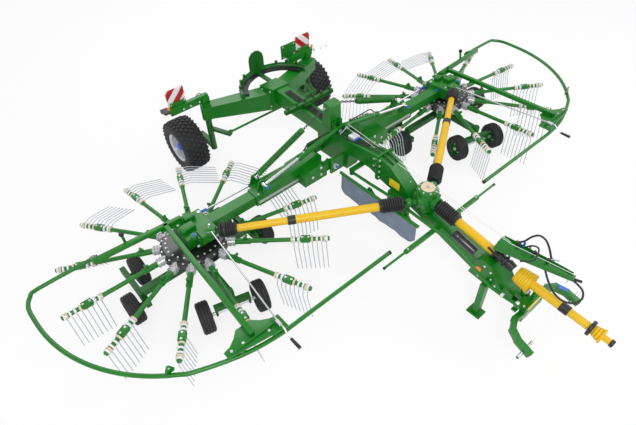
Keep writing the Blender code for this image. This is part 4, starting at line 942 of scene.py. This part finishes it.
def guards():
    """Guard bows with their supports, lugs and the height crank."""
    radius = sizes().guard_tube
    for name, side in SIDES:
        x = side * ROTOR_X
        piece = Piece("guard_bow_" + name)
        path = [(0.90, 0.335), (1.50, 0.335), (1.60, 0.29), (1.66, 0.16)]
        for i in range(15):
            angle = radians(-2 - 58 * i / 14)
            path.append((1.66 * cos(angle), 1.66 * sin(angle)))
        path += [(0.45, -1.575), (0.10, -1.635), (-0.30, -1.64), (-1.33, -1.64)]
        route = smooth_route([(x + side * out, y, 0.80) for out, y in path], 3)
        piece.add(pipe(route, radius, 14), "green_paint")
        level = 0.90
        piece.add(bar((x + side * 0.02, 0.13, level), (x + side * 0.97, 0.19, level),
                      (0.05, 0.05)), "green_paint")
        piece.add(bar((x + side * 0.20, 0.15, level), (x + side * 0.28, -1.53, level),
                      (0.05, 0.05)), "green_paint")
        plate = [(-0.02, -1.50), (0.06, -1.485), (0.14, -1.44), (0.20, -1.38), (0.36, -1.38),
                 (0.42, -1.44), (0.49, -1.485), (0.56, -1.50), (0.56, -1.57), (-0.02, -1.66)]
        outline = [(x + side * out, y) for out, y in plate]
        if side < 0:
            outline.reverse()
        piece.add(slab(outline, 0.860, 0.874), "green_paint")
        piece.add(block((x + side * 0.27, -1.56, 0.885), (0.50, 0.012, 0.03),
                        edge=0.002), "green_paint")
        for out, y in ((0.10, -1.62), (0.42, -1.57)):
            piece.add(block((x + side * out, y, 0.83), (0.06, 0.03, 0.08), edge=0.003),
                      "green_paint")
        for out, y in ((0.04, -1.60), (0.14, -1.58), (0.38, -1.53), (0.50, -1.53)):
            piece.bolt((x + side * out, y, 0.874), (0, 0, 1), 0.009)
        piece.add(block((x + side * 0.28, -1.46, 0.875), (0.06, 0.08, 0.04), edge=0.003),
                  "green_paint")
        piece.add(bar((x + side * 0.95, 0.18, level), (x + side * 0.95, 0.345, 0.80),
                      (0.06, 0.05)), "green_paint")
        piece.add(block((x + side * 0.10, 0.145, 0.87), (0.34, 0.10, 0.02), edge=0.003),
                  "green_paint")
        for out in (0.0, 0.10, 0.20):
            piece.bolt((x + side * out, 0.18, 0.880), (0, 0, 1), 0.010)
        piece.add(rod((x + side * 0.62, 0.225, 0.88), (x + side * 0.62, 0.245, 0.98), 0.015),
                  "green_paint")
        piece.add(turned([(0, 0), (0.024, 0.004), (0.028, 0.02), (0.022, 0.036), (0, 0.04)],
                         Matrix.Translation((x + side * 0.62, 0.245, 0.975)), 16), "black_rubber")
        lug = [(-0.035, 0.0), (0.035, 0.0), (0.045, 0.03), (0.01, 0.11), (-0.01, 0.115),
               (-0.04, 0.05)]
        spot = Vector((x + side * 0.98, -1.315, 0.81))
        stand = Matrix.Translation(spot) @ Matrix.Rotation(pi / 2, 4, "X")
        piece.add(slab(lug, -0.004, 0.004, stand, edge=0), "green_paint")
        piece.add(rod(spot + Vector((0, -0.006, 0.075)), spot + Vector((0, 0.006, 0.075)), 0.010),
                  "bolt_zinc")
        end = (side * 0.80, -1.64, 0.80)
        piece.add(rod(end, (side * 0.772, -1.64, 0.80), 0.0215, sides=14), "black_rubber")
        head = Vector((side * 1.99, -0.19, 0.905))
        eye = Vector((x + side * 0.045, -1.60, 0.925))
        piece.add(rod(head, eye, 0.0085, sides=12), "bright_steel")
        piece.add(rod(eye - Vector((0, 0.03, 0)), eye + Vector((0, 0.03, 0)), 0.017, sides=14),
                  "bolt_zinc")
        piece.add(bar((eye.x, eye.y, 0.875), (eye.x, eye.y, 0.915), (0.02, 0.02)), "green_paint")
        bend = [eye, eye + Vector((0, -0.07, 0.004)), eye + Vector((0, -0.13, -0.05)),
                eye + Vector((0, -0.17, -0.06))]
        piece.add(pipe(bend, 0.0085, 10), "bright_steel")
        piece.add(rod(bend[-1], bend[-1] + Vector((0, -0.12, 0.0)), 0.014, 0.017), "black_rubber")
        piece.done("boom_arm_" + name, ["guard_" + name])


def guard_bars():
    """Inner guard bars' thin ends and joint collars on the cross bar of the drawbar."""
    piece = Piece("cross_bar_fittings")
    for side in (-1, 1):
        piece.add(rod((side * 0.575, -1.70, 0.715), (side * 0.605, -1.70, 0.715), 0.026),
                  "green_paint")
        piece.add(rod((side * 0.905, -1.70, 0.715), (side * 0.925, -1.70, 0.715), 0.0155),
                  "black_rubber")
        piece.bolt((side * 0.57, -1.70, 0.736), (0, 0, 1), 0.008)
        piece.bolt((side * 0.16, -1.70, 0.736), (0, 0, 1), 0.009)
    piece.done("frame")


# ---------------------------------------------------------------- curtain
def swath_curtain():
    """Slate cloth in soft folds under its green rail."""
    x, top, low = -0.305, 0.788, 0.492
    rail = Piece("curtain_rail")
    rail.add(rod((x, -0.40, 0.80), (x, -1.60, 0.80), 0.019, sides=20), "green_paint")
    rail.add(block((x, -1.0, 0.785), (0.012, 1.17, 0.024), edge=0.002), "green_paint")
    for i in range(7):
        y = -0.48 - i * 0.175
        rail.bolt((x - 0.006, y, 0.785), (-1, 0, 0), 0.006)
        rail.bolt((x + 0.006, y, 0.785), (1, 0, 0), 0.006)
    rail.done("swath_curtain", ["swath_curtain"])

    shape = bmesh.new()
    bmesh.ops.create_grid(shape, x_segments=64, y_segments=14, size=0.5)
    wide, tall = 1.16, top - low
    for vert in shape.verts:
        along, down = vert.co.x, 0.5 - vert.co.y
        corner = max(abs(along) - 0.42, 0) / 0.08
        depth = tall * (1 - 0.26 * corner ** 2)
        swell = down * (0.006 * sin(along * 21) + 0.003 * sin(along * 47 + 1.3))
        vert.co = Vector((x + swell, -1.0 + along * wide, top - down * depth))
    bmesh.ops.translate(shape, verts=shape.verts, vec=(0, LINE_Y, 0))
    mesh = bpy.data.meshes.new("curtain_sheet")
    shape.to_mesh(mesh)
    shape.free()
    mesh.polygons.foreach_set("use_smooth", [True] * len(mesh.polygons))
    mesh.materials.append(look("curtain_cloth"))
    sheet = bpy.data.objects.new("curtain_sheet", mesh)
    bpy.context.scene.collection.objects.link(sheet)
    thick = sheet.modifiers.new("thickness", "SOLIDIFY")
    thick.thickness = 0.002
    thick.offset = 0
    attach(sheet, "swath_curtain")


# ---------------------------------------------------------------- wheels
def ribbed_wheel(piece, at, hub_side):
    """A small rotor wheel about X: grooved tyre, a rim in the darker green that is painted shade, and hub
    cap.
    """
    r, half = WHEEL_R, WHEEL_W / 2
    profile = [(0.096, -half + 0.018), (0.108, -half + 0.004), (0.132, -half), (r - 0.030, -half),
               (r - 0.012, -half + 0.006), (r - 0.002, -half + 0.020)]
    for groove in (-0.032, 0.0, 0.032):
        profile += [(r, groove - 0.006), (r - 0.007, groove - 0.003), (r - 0.007, groove + 0.003),
                    (r, groove + 0.006)]
    profile += [(r - 0.002, half - 0.020), (r - 0.012, half - 0.006), (r - 0.030, half),
                (0.132, half), (0.108, half - 0.004), (0.096, half - 0.018)]
    piece.add(turned(profile, along_x(at), 40), "tyre_rubber")
    rim = [(0.019, -0.045), (0.038, -0.045), (0.046, -0.020), (0.084, -0.020), (0.088, -0.050),
           (0.097, -0.054), (0.097, 0.054), (0.088, 0.050), (0.084, 0.020), (0.046, 0.020),
           (0.038, 0.045), (0.019, 0.045)]
    # Painted shade: the rim gets the darker green.
    piece.add(turned(rim, along_x(at), 28), "painted_shade_green_paint")
    centre = Vector(at)
    for i in range(4):
        angle = pi / 4 + i * pi / 2
        for face in (-1, 1):
            spot = centre + Vector((face * 0.020, 0.064 * cos(angle), 0.064 * sin(angle)))
            piece.bolt(spot, (face, 0, 0), 0.007)
    if hub_side:
        face = centre + Vector((hub_side * 0.045, 0, 0))
        piece.add(rod(face, face + Vector((hub_side * 0.014, 0, 0)), 0.024, 0.018), "label_grey")


def rotor_wheels():
    """The tandem and front wheels under each rotor."""
    for name, side in SIDES:
        for index, (out, across, behind) in enumerate(BOGIE_WHEELS):
            node = "bogie_wheel_%s_%d" % (name, index + 1)
            outward = side * out
            at = (side * ROTOR_X + outward * (BOGIE_BAR + across), behind, WHEEL_R)
            piece = Piece("ribbed_" + node)
            ribbed_wheel(piece, at, outward if across > 0 else -outward)
            piece.done(node, [node])
        king = Vector((side * ROTOR_X, 0, 0)) + KINGPIN
        turn = Matrix.Translation(king) @ Matrix.Rotation(FRONT_STEER, 4, "Z")
        pair = Piece("ribbed_front_wheels_" + name)
        for face in (-1, 1):
            ribbed_wheel(pair, (face * 0.31, -0.04, WHEEL_R), face)
        pair.add(rod((-0.30, -0.04, WHEEL_R), (0.30, -0.04, WHEEL_R), 0.018), "bolt_zinc")
        bmesh.ops.transform(pair.whole, matrix=turn, verts=pair.whole.verts)
        pair.done("front_wheels_" + name, ["front_wheels_" + name])


def road_wheels():
    """Wide tyres with rows of blocks, on silver rims."""
    depth = sizes().tread
    for name, side in SIDES:
        half, r = ROAD_W / 2, ROAD_R - depth
        at = (side * ROAD_X, ROAD_Y, ROAD_R)
        tyre = Piece("road_tyre_" + name)
        wall = [(0.200, 0.040), (0.206, 0.022), (0.225, 0.008), (0.268, 0.0), (0.305, 0.002),
                (0.338, 0.018), (r - 0.012, 0.044), (r - 0.002, 0.075)]
        profile = [(radius, inset - half) for radius, inset in wall]
        profile += [(radius, half - inset) for radius, inset in reversed(wall)]
        tyre.add(turned(profile, along_x(at), 64), "tyre_rubber")
        rows = ((-0.128, 0.050, 32, 0.5, 0.5), (-0.080, 0.044, 32, 0.0, -0.6),
                (-0.028, 0.048, 32, 0.5, 0.6), (0.028, 0.048, 32, 0.0, -0.6),
                (0.080, 0.044, 32, 0.5, 0.6), (0.128, 0.050, 32, 0.0, -0.5))
        for across, width, count, start, skew in rows:
            drop = 0.012 if abs(across) > 0.12 else 0.0
            lug = block((0, 0, 0), (width, 0.040, depth + 0.010), edge=0.003)
            for i in range(count):
                angle = 2 * pi * (i + start) / count
                place = (Matrix.Translation(at) @ Matrix.Rotation(angle, 4, "X")
                         @ Matrix.Translation((across, 0, r + depth / 2 - 0.005 - drop))
                         @ Matrix.Rotation(skew, 4, "Z"))
                tyre.add(lug, "tyre_rubber", place, keep=True)
            lug.free()
        tyre.done("road_wheel_" + name, ["tyre_" + name])

        rim = Piece("road_rim_" + name)
        bowl = [(0.034, 0.02), (0.034, 0.105), (0.058, 0.105), (0.066, 0.055), (0.110, 0.045),
                (0.145, 0.060), (0.165, 0.050), (0.178, 0.130), (0.192, 0.136), (0.206, 0.150),
                (0.1995, 0.138), (0.1995, -0.138), (0.206, -0.150), (0.192, -0.136),
                (0.182, -0.10), (0.178, 0.020), (0.145, 0.035), (0.110, 0.022)]
        rim.add(turned([(radius, height * side) for radius, height in bowl], along_x(at), 48),
                "silver_rim")
        centre = Vector(at)
        for i in range(6):
            angle = 2 * pi * i / 6
            spot = centre + Vector((side * 0.048, 0.088 * cos(angle), 0.088 * sin(angle)))
            rim.bolt(spot, (side, 0, 0), 0.012)
        face = centre + Vector((side * 0.105, 0, 0))
        rim.add(turned([(0, 0), (0.055, 0), (0.052, 0.02), (0.035, 0.03), (0, 0.032)],
                       axis_frame(face, face + Vector((side, 0, 0))), 24), "blue_cap")
        rim.done("road_wheel_" + name, ["rim_" + name])


# ---------------------------------------------------------------- rotors
def tine_swing(angle):
    """How far a tine is swung up, 0 hanging to 1 level, for an arm at angle degrees."""
    angle = (angle + 20) % 360
    if angle < 60:
        return angle / 60
    if angle < 160:
        return 1.0
    if angle < 185:
        return (185 - angle) / 25
    return 0.0


def tine_arm(arm):
    """The tube, socket, collars and clamp plate of one arm along X."""
    arm.add(rod((0.34, 0, 0), (0.455, 0, 0), 0.050, 0.040, 16), "silver_cast")
    for at in (0.36, 0.395, 0.43):
        arm.add(rod((at, 0, 0), (at + 0.012, 0, 0), 0.054, 0.052, 16), "silver_cast")
    arm.add(rod((0.40, 0, 0), (0.62, 0, 0), 0.033, sides=16), "green_paint")
    arm.add(rod((0.60, 0, 0), (RING_R - 0.012, 0, 0), 0.024, sides=16), "green_paint")
    arm.add(block((0.565, 0, 0.040), (0.045, 0.030, 0.035), edge=0.003), "green_paint")
    arm.add(rod((0.575, -0.02, 0.058), (0.575, 0.03, 0.062), 0.015, sides=12), "green_paint")
    radius = sizes().collar
    for at, tone in ((1.070, "cream_collar"), (1.098, "white_collar"), (1.150, "white_collar"),
                     (1.290, "cream_collar"), (1.345, "white_collar"), (1.395, "white_collar"),
                     (1.425, "cream_collar"), (1.452, "white_collar")):
        arm.add(turned([(0.020, -0.009), (radius - 0.003, -0.009), (radius, -0.006),
                        (radius, 0.006), (radius - 0.003, 0.009), (0.020, 0.009)],
                       along_x((at, 0, 0)), 16), tone)
    arm.add(block((1.22, 0, 0.004), (0.105, 0.074, 0.052), edge=0.006), "green_paint")
    for at in (1.185, 1.255):
        arm.bolt((at, 0, 0.030), (0, 0, 1), 0.008)
    arm.add(rod((1.462, 0, 0), (RING_R, 0, 0), 0.027, 0.022, 16), "green_paint")


def comb(arm, swing, trail):
    """The spring tines of one arm; trail is the side that raised tines point to."""
    lean = radians(78) * swing
    down = Vector((0, trail * sin(lean), -cos(lean)))
    back = Vector((0, trail * cos(lean), sin(lean)))
    wire = sizes().tine_wire
    for i in range(TINES):
        root = Vector((TINE_FIRST + i * TINE_STEP, 0, 0))
        points = [root, root + down * 0.095 + back * 0.031, root + down * 0.118 + back * 0.034,
                  root + down * 0.14 + back * 0.031, root + down * TINE_DROP - back * 0.012]
        arm.add(pipe(points, wire, 6), "tine_steel")
        arm.add(rod(root - Vector((0.010, 0, 0)), root + Vector((0.010, 0, 0)), 0.030, sides=14),
                "tine_steel")


def rotors():
    """Each rotor: black cover, cast sockets and arms with their tines."""
    for name, side in SIDES:
        spot = (Matrix.Translation((side * ROTOR_X, 0, ROTOR_Z))
                @ Matrix.Rotation(ROTOR_TILT, 4, "X"))
        piece = Piece("rotor_" + name + "_tines")
        plain = Piece("plain")
        plain.finishes = piece.finishes
        tine_arm(plain)
        for i in range(ARMS):
            world = FIRST_ARM_DEG[name] - i * 360 / ARMS
            seen = world if side < 0 else 180 - world
            turn = spot @ Matrix.Rotation(radians(world), 4, "Z")
            piece.add_piece(plain, turn)
            tines = Piece("tines")
            tines.finishes = piece.finishes
            comb(tines, tine_swing(seen), side)
            piece.add_piece(tines, turn)
            tines.whole.free()
        plain.whole.free()
        cover = [(0.062, -0.055), (0.33, -0.045), (0.375, -0.030), (0.375, 0.040), (0.345, 0.052),
                 (0.335, 0.074), (0.25, 0.078), (0.062, 0.078)]
        piece.add(turned(cover, spot, 52), "black_cover")
        for i in range(26):
            angle = 2 * pi * i / 26
            for radius, height in ((0.300, 0.077), (0.355, 0.048)):
                at = spot @ Vector((radius * cos(angle), radius * sin(angle), height))
                up = spot.to_3x3() @ Vector((0, 0, 1))
                piece.bolt(at, up, 0.008)
        piece.done("rotor_" + name, ["tine_rotor_" + name])


# ---------------------------------------------------------------- stage
CAMERA_AT = Vector((-3.390, -3.085, 4.708))
CAMERA_AZIMUTH, CAMERA_ELEVATION, CAMERA_ROLL = radians(-39.3), radians(45.3), radians(-2.4)
CAMERA_LENS = 28.5


def studio():
    """Pale floor, soft light and the camera."""
    shape = bmesh.new()
    bmesh.ops.create_circle(shape, cap_ends=True, segments=96, radius=40)
    mesh = bpy.data.meshes.new("studio_floor")
    shape.to_mesh(mesh)
    shape.free()
    ground = bpy.data.objects.new("studio_floor", mesh)
    pale = bpy.data.materials.new("studio_floor")
    pale.use_nodes = True
    nodes, links = pale.node_tree.nodes, pale.node_tree.links
    shader = nodes["Principled BSDF"]
    shader.inputs["Base Color"].default_value = (*colours().floor, 1)
    shader.inputs["Roughness"].default_value = 0.9
    glow = nodes.new("ShaderNodeEmission")
    seen = nodes.new("ShaderNodeLightPath")
    share = math_node(pale.node_tree, "MULTIPLY", seen.outputs["Is Camera Ray"], 0.80)
    mix = nodes.new("ShaderNodeMixShader")
    links.new(share, mix.inputs["Fac"])
    links.new(shader.outputs["BSDF"], mix.inputs[1])
    links.new(glow.outputs["Emission"], mix.inputs[2])
    links.new(mix.outputs["Shader"], nodes["Material Output"].inputs["Surface"])
    mesh.materials.append(pale)
    bpy.context.scene.collection.objects.link(ground)
    ground.location.z = -0.001

    world = bpy.data.worlds.new("studio")
    bpy.context.scene.world = world
    world.use_nodes = True
    nodes, links = world.node_tree.nodes, world.node_tree.links
    sky = nodes["Background"]
    sky.inputs["Color"].default_value = (1, 1, 1, 1)
    sky.inputs["Strength"].default_value = 0.62
    white = nodes.new("ShaderNodeBackground")
    white.inputs["Strength"].default_value = 1.0
    path = nodes.new("ShaderNodeLightPath")
    either = math_node(world.node_tree, "MAXIMUM", path.outputs["Is Camera Ray"],
                       path.outputs["Is Glossy Ray"])
    any_of = math_node(world.node_tree, "MAXIMUM", either, path.outputs["Is Transmission Ray"])
    blend = nodes.new("ShaderNodeMixShader")
    links.new(any_of, blend.inputs["Fac"])
    links.new(sky.outputs["Background"], blend.inputs[1])
    links.new(white.outputs["Background"], blend.inputs[2])
    links.new(blend.outputs["Shader"], nodes["World Output"].inputs["Surface"])

    for name, at, power, size in (("key", (-5.5, -6.0, 8.5), 520, 5.0),
                                  ("fill", (6.5, -3.0, 7.0), 220, 6.0),
                                  ("back", (1.0, 8.0, 7.0), 200, 6.0)):
        lamp = bpy.data.lights.new(name, "AREA")
        lamp.energy = power
        lamp.size = size
        node = bpy.data.objects.new(name, lamp)
        node.location = at
        node.rotation_mode = "QUATERNION"
        node.rotation_quaternion = (Vector((0, 0, 0.5)) - Vector(at)).to_track_quat("-Z", "Y")
        bpy.context.scene.collection.objects.link(node)

    lens = bpy.data.cameras.new("camera")
    lens.lens = CAMERA_LENS
    lens.sensor_width = 36
    lens.clip_end = 200
    eye = bpy.data.objects.new("camera", lens)
    a, e, roll = CAMERA_AZIMUTH, CAMERA_ELEVATION, CAMERA_ROLL
    back = Vector((sin(a) * cos(e), -cos(a) * cos(e), sin(e)))
    level = Vector((cos(a), sin(a), 0))
    rise = back.cross(level)
    right = level * cos(roll) + rise * sin(roll)
    up = rise * cos(roll) - level * sin(roll)
    turn = Matrix((right, up, back)).transposed().to_4x4()
    eye.matrix_world = Matrix.Translation(CAMERA_AT) @ turn
    bpy.context.scene.collection.objects.link(eye)
    bpy.context.scene.camera = eye
    bpy.context.scene.view_settings.view_transform = "Standard"


# ---------------------------------------------------------------- operators and panel
class RAKE_OT_painted_frame(bpy.types.Operator):
    """Green frame pieces with rounded edges."""
    bl_idname = "rake.painted_frame"
    bl_label = "Frame pieces"

    def execute(self, context):
        painted_frame()
        return {"FINISHED"}


class RAKE_OT_frame_fittings(bpy.types.Operator):
    """Bolts, labels, pins and pipes on the frame."""
    bl_idname = "rake.frame_fittings"
    bl_label = "Frame fittings"

    def execute(self, context):
        frame_fittings()
        return {"FINISHED"}


class RAKE_OT_racks_and_boards(bpy.types.Operator):
    """Striped warning boards on their brackets, markers, and the rear rack's bands."""
    bl_idname = "rake.racks_and_boards"
    bl_label = "Warning boards"

    def execute(self, context):
        racks_and_boards()
        return {"FINISHED"}


class RAKE_OT_drive_shafts(bpy.types.Operator):
    """Yellow guards, black bellows and bands of every drive shaft."""
    bl_idname = "rake.drive_shafts"
    bl_label = "Drive shafts"

    def execute(self, context):
        drive_shafts()
        return {"FINISHED"}


class RAKE_OT_headstock_fittings(bpy.types.Operator):
    """Hitch pins, labels, ball joints and end caps of the headstock and steering."""
    bl_idname = "rake.headstock_fittings"
    bl_label = "Headstock fittings"

    def execute(self, context):
        headstock_fittings()
        return {"FINISHED"}


class RAKE_OT_hoses_and_ropes(bpy.types.Operator):
    """Hydraulic hoses on the holder, their couplings, and the white pull ropes."""
    bl_idname = "rake.hoses_and_ropes"
    bl_label = "Hoses and ropes"

    def execute(self, context):
        hoses_and_ropes()
        return {"FINISHED"}


class RAKE_OT_boom_fittings(bpy.types.Operator):
    """Caps, rivets, scale strip, width cylinder and pins on each boom and arm."""
    bl_idname = "rake.boom_fittings"
    bl_label = "Boom fittings"

    def execute(self, context):
        boom_fittings()
        return {"FINISHED"}


class RAKE_OT_relief_springs(bpy.types.Operator):
    """Coil springs and chains that bend between the tower and the boom."""
    bl_idname = "rake.relief_springs"
    bl_label = "Relief springs"

    def execute(self, context):
        relief_springs()
        return {"FINISHED"}


class RAKE_OT_guards(bpy.types.Operator):
    """Guard bows with their supports, lugs and the height crank."""
    bl_idname = "rake.guards"
    bl_label = "Guards"

    def execute(self, context):
        guards()
        return {"FINISHED"}


class RAKE_OT_guard_bars(bpy.types.Operator):
    """Inner guard bars' thin ends and joint collars on the cross bar of the drawbar."""
    bl_idname = "rake.guard_bars"
    bl_label = "Cross bar ends"

    def execute(self, context):
        guard_bars()
        return {"FINISHED"}


class RAKE_OT_swath_curtain(bpy.types.Operator):
    """Slate cloth in soft folds under its green rail."""
    bl_idname = "rake.swath_curtain"
    bl_label = "Swath curtain"

    def execute(self, context):
        swath_curtain()
        return {"FINISHED"}


class RAKE_OT_rotor_wheels(bpy.types.Operator):
    """The tandem and front wheels under each rotor."""
    bl_idname = "rake.rotor_wheels"
    bl_label = "Rotor wheels"

    def execute(self, context):
        rotor_wheels()
        return {"FINISHED"}


class RAKE_OT_road_wheels(bpy.types.Operator):
    """Wide tyres with rows of blocks, on silver rims."""
    bl_idname = "rake.road_wheels"
    bl_label = "Road wheels"

    def execute(self, context):
        road_wheels()
        return {"FINISHED"}


class RAKE_OT_rotors(bpy.types.Operator):
    """Each rotor: black cover, cast sockets and arms with their tines."""
    bl_idname = "rake.rotors"
    bl_label = "Rotors"

    def execute(self, context):
        rotors()
        return {"FINISHED"}


class RAKE_OT_studio(bpy.types.Operator):
    """Pale floor, soft light and the camera."""
    bl_idname = "rake.studio"
    bl_label = "Studio"

    def execute(self, context):
        studio()
        return {"FINISHED"}


OPERATORS = [
    RAKE_OT_painted_frame,
    RAKE_OT_frame_fittings,
    RAKE_OT_racks_and_boards,
    RAKE_OT_drive_shafts,
    RAKE_OT_headstock_fittings,
    RAKE_OT_hoses_and_ropes,
    RAKE_OT_boom_fittings,
    RAKE_OT_relief_springs,
    RAKE_OT_guards,
    RAKE_OT_guard_bars,
    RAKE_OT_swath_curtain,
    RAKE_OT_rotor_wheels,
    RAKE_OT_road_wheels,
    RAKE_OT_rotors,
    RAKE_OT_studio,
]


class RAKE_PT_panel(bpy.types.Panel):
    """Lists the builders and the sizes and colours they use."""
    bl_idname = "RAKE_PT_panel"
    bl_label = "Hay rake"
    bl_space_type = "VIEW_3D"
    bl_region_type = "UI"
    bl_category = "Hay rake"

    def draw(self, context):
        for group in (context.scene.rake_sizes, context.scene.rake_colours):
            for name in group.bl_rna.properties.keys():
                if name not in ("rna_type", "name"):
                    self.layout.prop(group, name)
        for kind in OPERATORS:
            self.layout.operator(kind.bl_idname)


CLASSES = [RakeSizes, RakeColours, *OPERATORS, RAKE_PT_panel]


def register():
    for kind in CLASSES:
        bpy.utils.register_class(kind)
    bpy.types.Scene.rake_sizes = PointerProperty(type=RakeSizes)
    bpy.types.Scene.rake_colours = PointerProperty(type=RakeColours)


def unregister():
    del bpy.types.Scene.rake_sizes
    del bpy.types.Scene.rake_colours
    for kind in reversed(CLASSES):
        bpy.utils.unregister_class(kind)


def main():
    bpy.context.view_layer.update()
    register()
    for kind in OPERATORS:
        getattr(bpy.ops.rake, kind.bl_idname.split(".")[1])()


if __name__ == "__main__":
    main()
